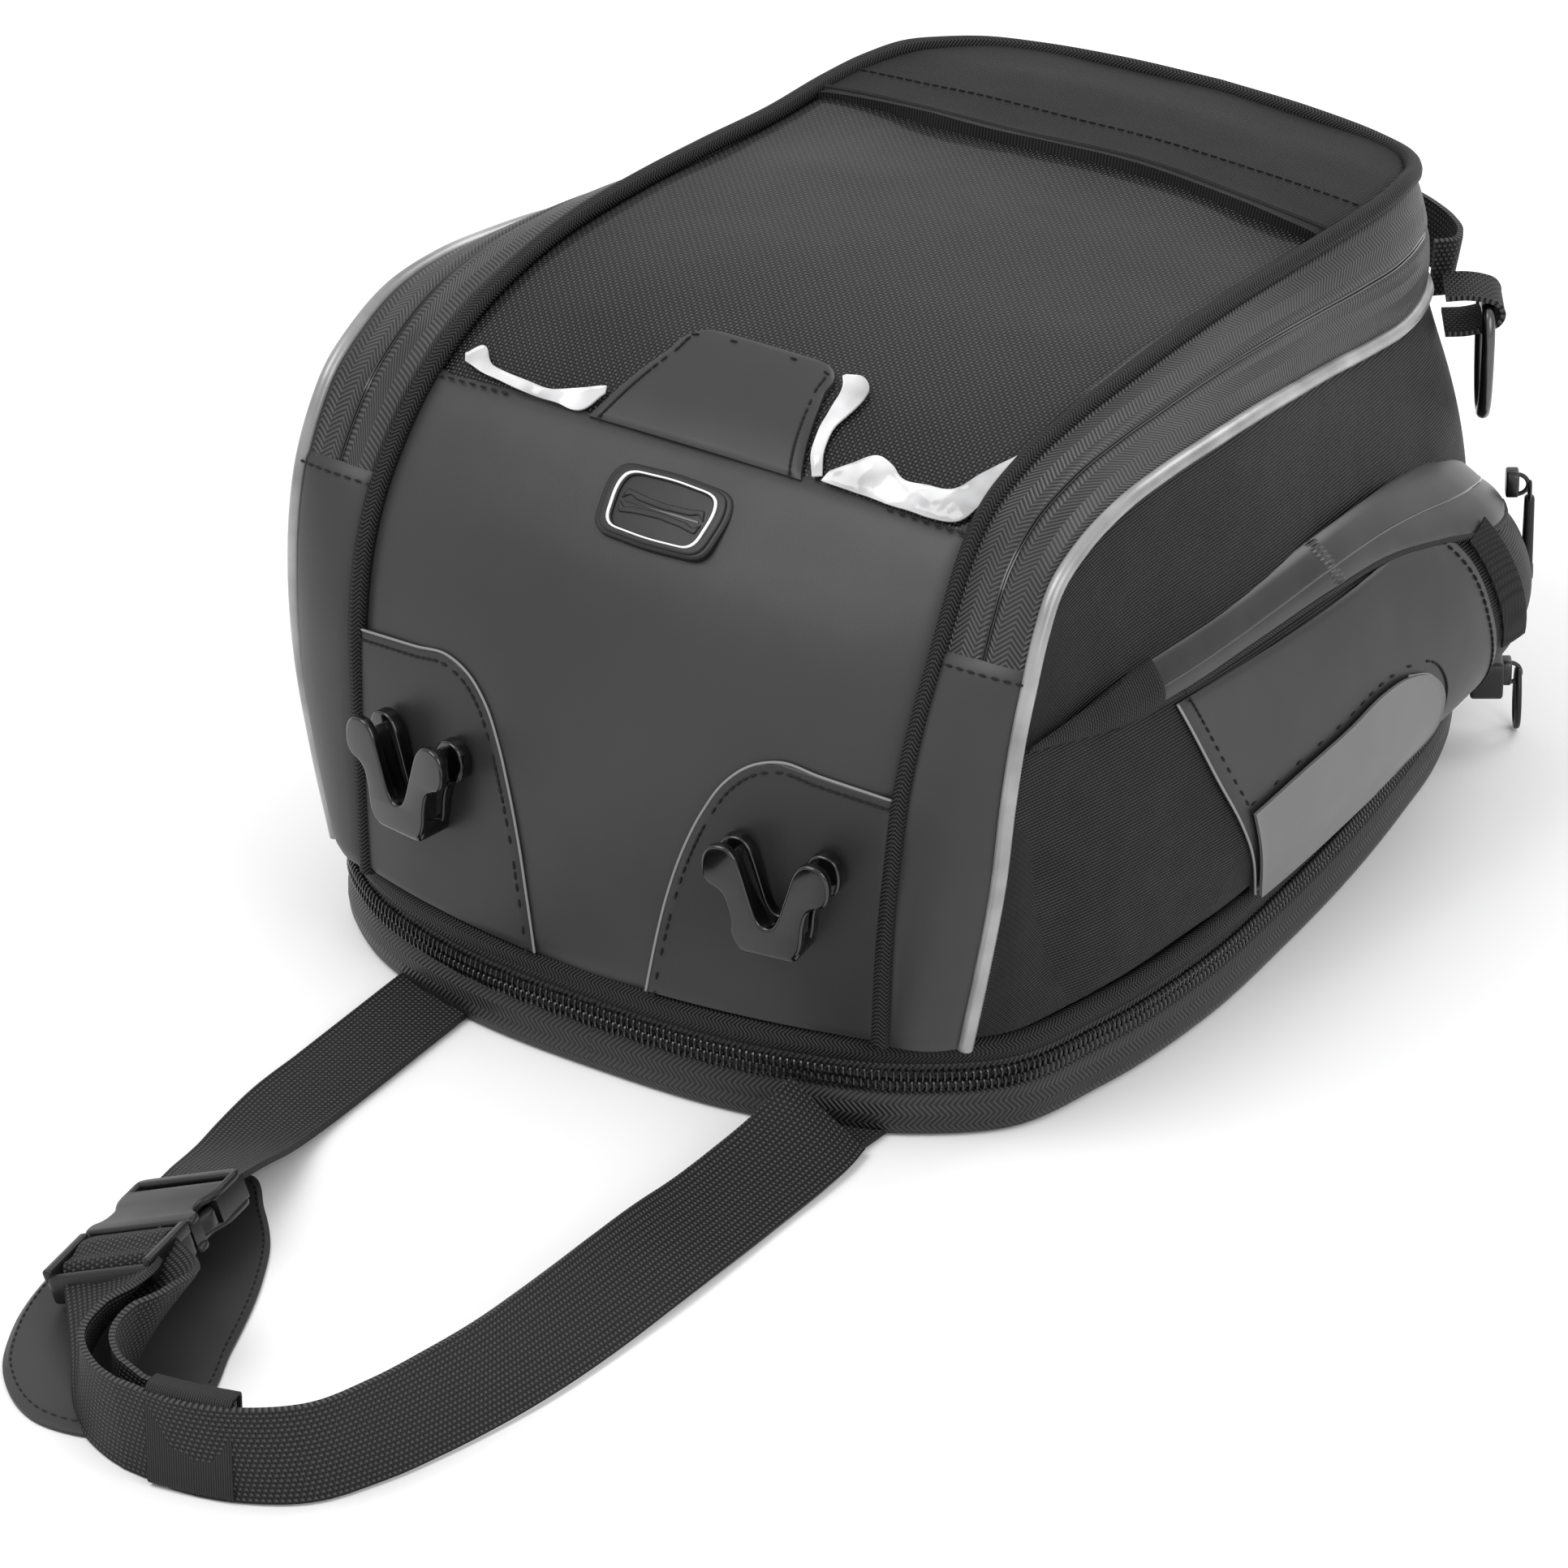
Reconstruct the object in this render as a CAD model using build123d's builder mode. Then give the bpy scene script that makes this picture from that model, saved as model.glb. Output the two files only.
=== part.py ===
from build123d import *
from math import cos, radians, sin
import os

# Strap-and-lock motorcycle tank bag, about 15 litres.
# Frame: origin at the centre of the tank-lock socket on the underside, -Y towards the
# handlebars (hooks and front strap), +Y towards the rider, +Z up. Millimetres.

# ---- driving dimensions -------------------------------------------------------------
SKIN = 1.2  # sewn cover fabric and leatherette
WALL = 4.2  # cover plus foam board
LINING = 5.2  # cover, foam board and inner lining
WIDE = 300.0  # wider than the bag, for cutting boxes
HIGH = 260.0  # higher than the bag
BODY_BASE = 32.0  # where the bag body starts, on top of the base piping
SEAM_GAP = 0.6  # between the two halves of the main zip

# Plan outline of the body at four heights: height, y of the front centre, front seam,
# front corner, shoulder, waist, hip, rear corner (all x, y) and y of the rear centre.
BODY_LEVELS = [
    (BODY_BASE, -184.0, (60, -180), (115, -157.5), (131, -60), (120, 50), (106, 112), (78, 160), 183.0),
    (100.0, -179.0, (60, -176), (126, -158.0), (131, -60), (119, 50), (110, 112), (84, 157), 172.0),
    (125.0, -170.5, (60, -168), (128, -155.0), (130, -60), (118, 50), (109, 112), (84, 155), 169.0),
    (152.0, -160.0, (60, -160), (129, -150.0), (129, -60), (110, 50), (99, 112), (69, 143), 154.0),
    (210.0, -152.0, (60, -152), (129, -141.0), (126, -60), (95, 50), (89, 112), (50, 140), 148.0),
]
# Cross sections of the top: y, then heights at the middle, at the top seam and at the
# shoulder seam, and half widths of the two seams.
CROWN = [
    (-200.0, 96.0, 90.0, 78.0, 97.0, 129.0),
    (-157.0, 151.0, 145.0, 138.0, 97.0, 129.0),
    (-145.0, 166.0, 162.5, 160.0, 97.0, 129.0),
    (-125.0, 183.0, 182.0, 181.0, 96.0, 129.0),
    (-100.0, 195.0, 193.0, 188.0, 96.0, 129.0),
    (-57.0, 203.0, 201.0, 188.5, 97.0, 128.0),
    (0.0, 206.0, 202.0, 180.0, 96.0, 119.0),
    (50.0, 206.0, 201.0, 186.0, 95.0, 112.0),
    (110.0, 204.5, 200.0, 186.0, 95.0, 112.0),
    (140.0, 201.0, 197.0, 184.0, 95.0, 112.0),
    (190.0, 194.0, 190.0, 178.0, 95.0, 112.0),
]
# Lower corner of the region that belongs to the lid: y, half width, height.
LID_CUT = [
    (-210.0, 97.6, 153.0),
    (-155.0, 97.6, 153.0),
    (-152.0, 113.0, 153.0),
    (-140.0, 114.0, 166.0),
    (-125.0, 114.0, 174.0),
    (-100.0, 114.0, 181.0),
    (-57.0, 113.0, 186.0),
    (0.0, 111.0, 187.0),
    (50.0, 118.0, 184.0),
    (110.0, 120.0, 179.0),
    (200.0, 120.0, 177.0),
]
# Lower corner of the zip band (the reflective piping runs along it).
BAND_CUT = [
    (-210.0, 129.0, 153.0),
    (-152.0, 129.5, 151.0),
    (-140.0, 129.5, 165.0),
    (-125.0, 129.5, 176.0),
    (-100.0, 130.0, 182.0),
    (-57.0, 130.0, 184.0),
    (0.0, 130.0, 178.0),
    (50.0, 130.0, 167.5),
    (110.0, 130.0, 159.0),
    (200.0, 130.0, 158.0),
]
PIPING_R = 2.6
REFLECTIVE_R = 2.2
FRONT_SEAM_X = 97.0  # where lid leather meets the side strips
STRIP_END_Y = -147.0
REAR_WALL_Y = 118.0
WINDOW_Y = (-123.0, 62.0)
LID_TAPER = (94.0, 60.0)  # x and y where the lid starts to round off
LID_REAR_Y = 147.0

# Base
BASE_BAND_H = 14.0
BASE_BAND_T = 7.0
COIL_Z = (17.0, 21.5)
BASE_PLATE_T = 4.0
FLOOR_Z = (28.0, 31.5)
BASE_OUTLINE = [(58, -180), (100, -162), (127, -118), (131.5, -55), (120.5, 50), (107, 112), (92, 150),
                (64, 175.5), (32, 186.5)]
BASE_FRONT_Y, BASE_REAR_Y = -185.0, 189.0

# Tank-lock socket
SOCKET_R = 45.0
SOCKET_H = 6.0
SOCKET_BODY_R = 58.0
SOCKET_FLANGE_R = 72.0
SOCKET_PCD = 130.0
SOCKET_SCREWS = 6
LATCH_W, LATCH_T = 18.0, 3.0

# Side pockets: height, then front end, shoulder, waist, hip, rear corner and rear end (x, y)
POCKET_LEVELS = [
    (33.0, (125, -146), (133, -60), (125, 45), (112, 110), (94, 150), (72, 168)),
    (55.0, (127, -146), (136, -60), (136, 45), (130, 104), (115.5, 147), (76, 176)),
    (90.0, (128, -146), (136, -60), (136, 45), (127, 104), (109, 144), (76, 171)),
    (112.0, (129, -146), (134, -60), (131, 45), (119, 104), (99, 138), (74, 162)),
    (128.0, (129, -146), (131, -60), (120, 45), (110, 104), (90, 136), (72, 158)),
]
POCKET_Y = -145.0
# Sloping top seam of the pocket, seen from the side (y, z)
POCKET_TOP = [(-160, 130), (0, 129), (50, 126), (100, 119), (126, 108), (150, 96), (190, 86)]
PANEL_T = 1.2
PATCH_T = 0.8
ZIP_T = 1.6
# Outlines on the pocket, seen from the side (y, z)
POCKET_ZIP = [(-144, 129), (60, 127), (96, 120), (126, 107), (157, 94), (157, 80), (120, 95),
              (92, 108), (60, 115), (-144, 117)]
POCKET_PANEL = [(-80, 114), (62, 112), (90, 100), (112, 78), (128, 52), (138, 36), (-20, 36), (-44, 66),
                (-64, 94)]
POCKET_PATCH = [(-36, 50), (20, 60), (72, 68), (88, 62), (96, 52), (96, 40), (-24, 40)]
SLIDER = (6.0, 9.0, 4.0)  # across, along and above the zip
SLIDER_SPOT = (107.4, 151.7, 89.0)
MAIN_SLIDER = (8.0, 9.0, 6.1)
MAIN_SLIDER_SPOT = (7.0, 152.0, 171.5)
MAIN_PULL_SPOT = (7.0, 158.4, 174.0)
PULL_L, PULL_W, PULL_T = 38.0, 7.0, 2.2
MAIN_PULL_L = 26.0

# Cargo hooks, cable port, rings
HOOK_X, HOOK_Z = 64.5, 62.0
HOOK_Y = -184.0
HOOK_T = 4.0
HOOK_OUTLINE = [(6, 0), (12, 8), (19, 26), (17, 33), (9.5, 33), (10, 25), (3, 11)]
PORT_W, PORT_H, PORT_T = 45.0, 24.0, 2.4
PORT_SLOT = (26.0, 3.0)
PORT_CENTRE = (0, -146.0, 165.0)
PORT_NORMAL = (0, -0.684, 0.729)
HINGE_Y, HINGE_Z = -159.5, 153.0
RING_WIRE_R = 2.0
RING_W, RING_H = 26.0, 36.0
RING_TOP = (100.0, 146.6, 150.0)
RING_OUT = (0.819, 0.574, 0)  # the way the right-hand ring faces
PIN_CLEARANCE = 0.06

# Webbing
WEB_W = 30.0
WEB_T = 1.8
HANDLE_W = 20.0
# Strap routes: x, y and height of one edge, heading, and how far the other edge leans up (degrees)
STRAP_RIGHT = [(93, -152, 0.1, 270, 0), (93, -180, 0.1, 270, 0), (94.5, -202, 0.1, 269, 10),
               (97, -230, 0.1, 269, 27), (98.5, -262, 0.1, 270, 42), (99, -300, 0.1, 271, 58)]
STRAP_FRONT = [(99, -302, 0.1, 271, 58), (98, -334, 0.1, 265, 68), (93, -370, 0.1, 258, 77),
               (86, -400, 0.1, 247, 83), (76, -419, 0.1, 222, 88), (58, -430, 0.1, 199, 94),
               (34, -436, 0.1, 188, 95), (12, -438, 0.6, 178, 93), (-8, -436, 2.4, 160, 80),
               (-26, -425, 4.5, 130, 56), (-35, -407, 7.2, 110, 34), (-38, -388, 9.2, 101, 21)]
KEEPER_SPAN = [(59, -429.6, 0, 199, 94), (47, -433, 0, 194, 94.5), (35, -435.8, 0, 188, 95)]
KEEPER_T = 1.2
STRAP_LEFT = [(-51, -152, 0.1, 270, 0), (-49, -190, 0.1, 271, 0), (-44, -225, 0.1, 272, 0),
              (-42, -252, 0.4, 272, 0), (-37, -275, 5.0, 276, -8), (-29, -298, 12.5, 280, -14),
              (-23, -318, 18.6, 281, -20)]
STRAP_NOTCHES = ((60, 96), (-84, -48))  # x range of each strap's way out under the base
NOTCH_Y, NOTCH_H = -148.0, 2.4
# Carry handle, right half: x, y and heading
HANDLE_Z = 147.0
HANDLE_HALF = [(88.3, 149.5, 125.03), (80, 160.5, 137), (66, 171, 153), (35, 179, 170)]
HANDLE_BACK_Y = 182.0

# Side-release buckle, in its own frame: x across, y towards the bag, z up
BUCKLE_CENTRE = (-30.5, -353.0, 14.6)
BUCKLE_ACROSS = (0.921, 0.182, 0.342)
BUCKLE_UP = (-0.335, -0.066, 0.940)
BUCKLE_W, BUCKLE_T = 37.0, 11.0
FEMALE_Y = (-4.0, 29.0)
CAVITY_W, CAVITY_T, CAVITY_END = 33.0, 6.6, 18.0
MALE_Y = (-29.0, -4.3)
PRONG_END = 14.0
TAIL_SPOT = (103.0, 156.0, 20.5)
RING_PULL_L, RING_PULL_W, RING_PULL_T = 19.0, 13.0, 2.0
PAD_T = 2.0
PAD_OUTLINE = [(-44, -291), (-28, -304), (-15, -318), (-5, -334), (12, -370), (23, -399), (14, -424),
               (-8, -430), (-32, -416), (-44, -398), (-56, -362), (-58, -325), (-52, -300)]

os.makedirs("parts", exist_ok=True)


def write(part, label):
    """Label a finished piece and write it as its own file."""
    part.label = label
    export_step(part, f"parts/{label}.step")


def keep_box(low, high):
    """Cut the part being built down to the box between two corners."""
    size = [b - a for a, b in zip(low, high)]
    middle = [(a + b) / 2 for a, b in zip(low, high)]
    with Locations(tuple(middle)):
        Box(*size, mode=Mode.INTERSECT)


def cut_box(low, high):
    """Cut away the box between two corners."""
    size = [b - a for a, b in zip(low, high)]
    middle = [(a + b) / 2 for a, b in zip(low, high)]
    with Locations(tuple(middle)):
        Box(*size, mode=Mode.SUBTRACT)


# ---- forms that the sewn pieces are cut from ------------------------------------------
def plan_form(inset, levels=BODY_LEVELS):
    """The bag's plan outline lofted through its heights, drawn in by inset."""
    diagonal = 0.7 * inset
    with BuildPart() as form:
        for z, front_y, seam, corner, shoulder, waist, hip, rear, rear_y in levels:
            with BuildSketch(Plane.XY.offset(z)):
                with BuildLine():
                    front_corner = (corner[0] - inset, corner[1] + inset)
                    Spline((0, front_y + inset), (seam[0], seam[1] + inset), front_corner,
                           tangents=((1, 0), (0.8, 0.6)))
                    Spline(front_corner, (shoulder[0] - inset, shoulder[1]),
                           (waist[0] - inset, waist[1]), (hip[0] - inset, hip[1] - diagonal / 2),
                           (rear[0] - diagonal, rear[1] - diagonal), (0, rear_y - inset),
                           tangents=((0.1, 1), (-1, 0)))
                    mirror(about=Plane.YZ)
                make_face()
        loft(ruled=True)
    return form.part


def crown_form(inset):
    """The space under the bag's crowned top, lowered by inset."""
    drop = 1.2 * inset
    with BuildPart() as form:
        for y, middle_z, seam_z, shoulder_z, seam_x, shoulder_x in CROWN:
            slope = (seam_z - shoulder_z) / (shoulder_x - seam_x)
            edge_z = shoulder_z - slope * (WIDE / 2 - shoulder_x)
            with BuildSketch(Plane.XZ.offset(-y)):
                with BuildLine():
                    Polyline((-seam_x, seam_z - drop), (-WIDE / 2, edge_z - drop), (-WIDE / 2, 0),
                             (WIDE / 2, 0), (WIDE / 2, edge_z - drop), (seam_x, seam_z - drop))
                    ThreePointArc((seam_x, seam_z - drop), (0, middle_z - drop),
                                  (-seam_x, seam_z - drop))
                make_face()
        loft(ruled=True)
    return form.part


def bag_form(inset):
    """The whole bag body as one solid, drawn in by inset."""
    with BuildPart() as form:
        add(plan_form(inset))
        add(crown_form(inset), mode=Mode.INTERSECT)
    return form.part


def corner_form(table, grow):
    """Everything above and between the seam points of a table of y, half width, height."""
    with BuildPart() as form:
        for y, half_width, height in table:
            side, low = half_width + grow, height - grow
            with BuildSketch(Plane.XZ.offset(-y)):
                with BuildLine():
                    Polyline((-side, low), (side, low), (side, HIGH), (-side, HIGH), close=True)
                make_face()
        loft(ruled=True)
    return form.part


OUTER = bag_form(0)
COVER = bag_form(SKIN)
INNER = bag_form(WALL)
LINED = bag_form(LINING)
LID_REGION = corner_form(LID_CUT, 0)
LID_CLEARANCE = corner_form(LID_CUT, SEAM_GAP)
BAND_REGION = corner_form(BAND_CUT, 0)


def base_outline(inset=0.0):
    """Egg-shaped outline of the base, as a sketch face, drawn in by inset."""
    with BuildSketch() as sketch:
        with BuildLine():
            points = [(x - inset * x / 132, y - inset * y / 187) for x, y in BASE_OUTLINE]
            Spline((0, BASE_FRONT_Y + inset), *points, (0, BASE_REAR_Y - inset),
                   tangents=((1, 0), (-1, 0)))
            mirror(about=Plane.YZ)
        make_face()
    return sketch.sketch


def base_ring(inset, thickness, low, high):
    """A band that follows the base outline."""
    with BuildPart() as ring:
        with BuildSketch(Plane.XY.offset(low)):
            add(base_outline(inset))
            add(base_outline(inset + thickness), mode=Mode.SUBTRACT)
        extrude(amount=high - low)
    return ring.part


# ---- base ----------------------------------------------------------------------------
with BuildPart() as base_band:
    add(base_ring(2.0, BASE_BAND_T - 2.0, 0, 3.0))
    add(base_ring(0, BASE_BAND_T, 3.0, BASE_BAND_H))
    for low_x, high_x in STRAP_NOTCHES:
        cut_box((low_x, -WIDE, -1), (high_x, NOTCH_Y, NOTCH_H))
write(base_band.part, "base_band")

with BuildPart() as base_plate:
    with BuildSketch():
        add(base_outline(BASE_BAND_T + 0.2))
        Circle(SOCKET_BODY_R + 0.2, mode=Mode.SUBTRACT)
        with PolarLocations(SOCKET_PCD / 2, SOCKET_SCREWS):
            Circle(2.2, mode=Mode.SUBTRACT)
    extrude(amount=BASE_PLATE_T)
    for low_x, high_x in STRAP_NOTCHES:
        cut_box((low_x, -WIDE, -1), (high_x, NOTCH_Y, NOTCH_H))
write(base_plate.part, "base_plate")

with BuildPart() as tank_socket:
    with BuildSketch():
        Circle(SOCKET_BODY_R)
        Circle(SOCKET_R, mode=Mode.SUBTRACT)
    extrude(amount=SOCKET_H)
    with BuildSketch(Plane.XY.offset(SOCKET_H)):
        Circle(SOCKET_BODY_R)
        Circle(SOCKET_R + 3, mode=Mode.SUBTRACT)
    extrude(amount=5)
    with BuildSketch(Plane.XY.offset(SOCKET_H + 5)):
        Circle(SOCKET_BODY_R)
    extrude(amount=2)
    with BuildSketch(Plane.XY.offset(BASE_PLATE_T)):
        Circle(SOCKET_FLANGE_R)
        Circle(SOCKET_BODY_R, mode=Mode.SUBTRACT)
    extrude(amount=6)
    with PolarLocations(SOCKET_PCD / 2, SOCKET_SCREWS):
        Hole(2.02, depth=60)
    with Locations((0, 62, SOCKET_H + 0.2 + LATCH_T / 2)):
        Box(LATCH_W + 0.6, 34, LATCH_T + 0.4, mode=Mode.SUBTRACT)
write(tank_socket.part, "tank_socket")

with BuildPart() as socket_screws:
    for spot in PolarLocations(SOCKET_PCD / 2, SOCKET_SCREWS):
        x, y, _ = spot.position
        with BuildSketch(Plane((x, y, 1.2))):
            Circle(2.0)
        extrude(amount=7.8)
write(socket_screws.part, "socket_screws")

with BuildPart() as lock_latch:
    with Locations((0, 60, SOCKET_H + 0.4 + LATCH_T / 2)):
        Box(LATCH_W, 32, LATCH_T)
    fillet(lock_latch.edges().filter_by(Axis.Z).group_by(Axis.Y)[0], 4)
write(lock_latch.part, "lock_latch")

with BuildPart() as base_zip_tape:
    add(base_ring(2.5, 3.0, BASE_BAND_H, COIL_Z[0]))
    add(base_ring(3.6, 1.9, COIL_Z[0], COIL_Z[1]))
    add(base_ring(2.5, 3.0, COIL_Z[1], 27.0))
write(base_zip_tape.part, "base_zip_tape")

with BuildPart() as base_zip_coil:
    add(base_ring(0.2, 3.3, COIL_Z[0], COIL_Z[1]))
write(base_zip_coil.part, "base_zip_coil")

with BuildPart() as base_piping:
    add(base_ring(-0.5, 6.0, 27.0, BODY_BASE))
write(base_piping.part, "base_piping")

with BuildPart() as bag_floor:
    with BuildSketch(Plane.XY.offset(FLOOR_Z[0])):
        add(base_outline(6.5))
    extrude(amount=FLOOR_Z[1] - FLOOR_Z[0])
write(bag_floor.part, "bag_floor")

# ---- body walls ------------------------------------------------------------------------
with BuildPart() as body_shell:
    add(OUTER)
    add(INNER, mode=Mode.SUBTRACT)
    add(LID_CLEARANCE, mode=Mode.SUBTRACT)

with BuildPart() as lower_walls:
    add(body_shell.part)
    add(BAND_REGION, mode=Mode.SUBTRACT)

with BuildPart() as main_zip_lower:
    add(body_shell.part)
    add(BAND_REGION, mode=Mode.INTERSECT)
write(main_zip_lower.part, "main_zip_lower")

with BuildPart() as front_panel:
    add(lower_walls.part)
    keep_box((-FRONT_SEAM_X, -WIDE, 0), (FRONT_SEAM_X, STRIP_END_Y, HIGH))
write(front_panel.part, "front_panel")

for side, name in ((1, "right"), (-1, "left")):
    with BuildPart() as front_strip:
        add(lower_walls.part)
        inner_x, outer_x = side * FRONT_SEAM_X, side * WIDE
        keep_box((min(inner_x, outer_x), -WIDE, 0), (max(inner_x, outer_x), STRIP_END_Y, HIGH))
    write(front_strip.part, f"front_strip_{name}")

    with BuildPart() as side_wall:
        add(lower_walls.part)
        keep_box((min(0, outer_x), STRIP_END_Y, 0), (max(0, outer_x), REAR_WALL_Y, HIGH))
    write(side_wall.part, f"side_wall_{name}")

with BuildPart() as rear_wall:
    add(lower_walls.part)
    keep_box((-WIDE, REAR_WALL_Y, 0), (WIDE, WIDE, HIGH))
write(rear_wall.part, "rear_wall")

with BuildPart() as body_lining:
    add(INNER)
    add(LINED, mode=Mode.SUBTRACT)
    add(LID_CLEARANCE, mode=Mode.SUBTRACT)
write(body_lining.part, "body_lining")

# ---- lid -------------------------------------------------------------------------------
with BuildPart() as lid_core:
    add(COVER)
    add(INNER, mode=Mode.SUBTRACT)
    add(LID_REGION, mode=Mode.INTERSECT)
write(lid_core.part, "lid_core")

with BuildPart() as lid_lining:
    add(INNER)
    add(LINED, mode=Mode.SUBTRACT)
    add(LID_REGION, mode=Mode.INTERSECT)
write(lid_lining.part.solids().sort_by(SortBy.VOLUME)[-1], "lid_lining")


def lid_edge_prism(grow=0.0):
    """The top's sewn edge seen from above, moved out by grow, as a tall prism."""
    with BuildPart() as prism:
        with BuildSketch(Plane.XY.offset(20)):
            with BuildLine():
                side, taper, tail = FRONT_SEAM_X + grow, LID_TAPER[0] + grow, 0.7 * grow
                Polyline((0, -WIDE), (side, -WIDE), (side, -60), (taper, LID_TAPER[1]))
                Spline((taper, LID_TAPER[1]), (89 + grow, 112), (71 + tail, 138 + tail),
                       (0, LID_REAR_Y + grow), tangents=((-0.03, 1), (-1, 0)))
                mirror(about=Plane.YZ)
            make_face()
        extrude(amount=HIGH)
    return prism.part


with BuildPart() as lid_skin:
    add(OUTER)
    add(COVER, mode=Mode.SUBTRACT)
    add(LID_REGION, mode=Mode.INTERSECT)

with BuildPart() as main_zip_upper:
    add(lid_skin.part)
    add(lid_edge_prism(), mode=Mode.SUBTRACT)
write(main_zip_upper.part, "main_zip_upper")

lid_bands = (
    ("lid_leather", -WIDE, WINDOW_Y[0]),
    ("lid_window", WINDOW_Y[0], WINDOW_Y[1]),
    ("lid_rear_band", WINDOW_Y[1], WIDE),
)
for name, y_low, y_high in lid_bands:
    with BuildPart() as lid_band:
        add(lid_skin.part)
        add(lid_edge_prism(), mode=Mode.INTERSECT)
        keep_box((-WIDE, y_low, 0), (WIDE, y_high, HIGH))
    write(lid_band.part, name)

# ---- piping ----------------------------------------------------------------------------
RAISED = bag_form(-PIPING_R)

with BuildPart() as edge_rib:
    add(RAISED)
    add(OUTER, mode=Mode.SUBTRACT)
    add(lid_edge_prism(PIPING_R), mode=Mode.INTERSECT)
    add(lid_edge_prism(-PIPING_R), mode=Mode.SUBTRACT)

with BuildPart() as lid_piping:
    add(edge_rib.part)
    add(LID_REGION, mode=Mode.INTERSECT)
    keep_box((-WIDE, HINGE_Y + 6, 0), (WIDE, WIDE, HIGH))
write(lid_piping.part, "lid_piping")

with BuildPart() as front_piping:
    add(edge_rib.part)
    keep_box((-WIDE, -WIDE, BODY_BASE), (WIDE, -100, HINGE_Z - 3))
    add(LID_CLEARANCE, mode=Mode.SUBTRACT)
write(front_piping.part, "front_piping")

with BuildPart() as corner_rods:
    for side in (1, -1):
        with BuildPart(mode=Mode.PRIVATE) as corner_rod:
            for z, _, _, corner, *_ in BODY_LEVELS[:4]:
                with BuildSketch(Plane.XY.offset(z)):
                    with Locations((side * corner[0], corner[1])):
                        Rectangle(2 * REFLECTIVE_R, 2 * REFLECTIVE_R)
            loft(ruled=True)
        add(corner_rod.part)

with BuildPart() as reflective_piping:
    add(bag_form(-REFLECTIVE_R))
    add(corner_form(BAND_CUT, REFLECTIVE_R), mode=Mode.INTERSECT)
    add(corner_form(BAND_CUT, -REFLECTIVE_R), mode=Mode.SUBTRACT)
    cut_box((-WIDE, -WIDE, 0), (WIDE, -153, HIGH))
    cut_box((-FRONT_SEAM_X - 8, -WIDE, 0), (FRONT_SEAM_X + 8, -130, HIGH))
    add(corner_rods.part)
    add(OUTER, mode=Mode.SUBTRACT)
write(reflective_piping.part, "reflective_piping")

# ---- front: hook patches, cargo hooks, cable port ---------------------------------------
APPLIQUE = bag_form(-1.0)
with BuildPart() as hook_patches:
    with BuildSketch(Plane.XZ.offset(120)):
        with BuildLine():
            Polyline((22, 34), (40, 106), (48, 112), (93, 113), (92, 34), close=True)
        make_face()
        mirror(about=Plane.YZ)
    extrude(amount=100)
    add(APPLIQUE, mode=Mode.INTERSECT)
    add(OUTER, mode=Mode.SUBTRACT)
write(hook_patches.part, "hook_patches")

for side, name in ((1, "right"), (-1, "left")):
    with BuildPart() as cargo_hook:
        with BuildSketch(Plane.XZ.offset(-HOOK_Y)):
            with BuildLine():
                right_half = [(side * HOOK_X + u, HOOK_Z + v) for u, v in HOOK_OUTLINE]
                left_half = [(side * HOOK_X - u, HOOK_Z + v) for u, v in reversed(HOOK_OUTLINE)]
                Polyline(*right_half, *left_half, close=True)
            make_face()
        extrude(amount=HOOK_T)
        with Locations((side * HOOK_X, HOOK_Y + 6, HOOK_Z + 6)):
            Box(11, 14, 9)
        add(APPLIQUE, mode=Mode.SUBTRACT)
    write(cargo_hook.part, f"cargo_hook_{name}")

with BuildPart() as cable_port:
    face = Plane(PORT_CENTRE, x_dir=(1, 0, 0), z_dir=PORT_NORMAL)
    with BuildSketch(face.offset(-8)):
        RectangleRounded(PORT_W, PORT_H, 7)
        SlotOverall(*PORT_SLOT, mode=Mode.SUBTRACT)
    extrude(amount=8 + PORT_T)
    add(OUTER, mode=Mode.SUBTRACT)
write(cable_port.part, "cable_port")


# ---- side pockets ------------------------------------------------------------------------
def pocket_form(side, grow):
    """A bulging pocket on one side, moved out by grow, cut where the bag's wall is."""
    with BuildPart() as form:
        for z, front, shoulder, waist, hip, corner, end in POCKET_LEVELS:
            lift = grow if z > POCKET_LEVELS[-2][0] else 0
            with BuildSketch(Plane.XY.offset(z + lift)):
                with BuildLine():
                    Spline(*[(side * (x + grow), y) for x, y in (front, shoulder, waist)],
                           (side * (hip[0] + 0.9 * grow), hip[1] + 0.3 * grow),
                           (side * (corner[0] + 0.7 * grow), corner[1] + 0.7 * grow),
                           (side * end[0], end[1] + grow))
                    Polyline((side * end[0], end[1] + grow), (side * 50, end[1] - 40),
                             (side * 50, front[1]), (side * (front[0] + grow), front[1]))
                make_face()
        loft(ruled=True)
        with BuildSketch(Plane.YZ):
            with BuildLine():
                Polyline((-160, 20), *[(y, z + grow) for y, z in POCKET_TOP], (190, 20), close=True)
            make_face()
        extrude(amount=WIDE, both=True, mode=Mode.INTERSECT)
        add(OUTER, mode=Mode.SUBTRACT)
    return form.part


def pocket_layer(side, inner, outer, outline):
    """A thin piece sewn on a pocket, inside an outline seen from the side."""
    with BuildPart() as layer:
        with BuildSketch(Plane.YZ.offset(side * 60)):
            with BuildLine():
                Polyline(*outline, close=True)
            make_face()
        extrude(amount=side * 120)
        add(pocket_form(side, outer), mode=Mode.INTERSECT)
        add(pocket_form(side, inner), mode=Mode.SUBTRACT)
        keep_box((-WIDE, POCKET_Y + 2, 34), (WIDE, WIDE, HIGH))
    return layer.part


def facing(origin, outward):
    """A plane whose z axis points outward and whose y axis points up."""
    across = Vector(0, 0, 1).cross(Vector(*outward))
    return Plane(origin, x_dir=across, z_dir=outward)


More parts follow.
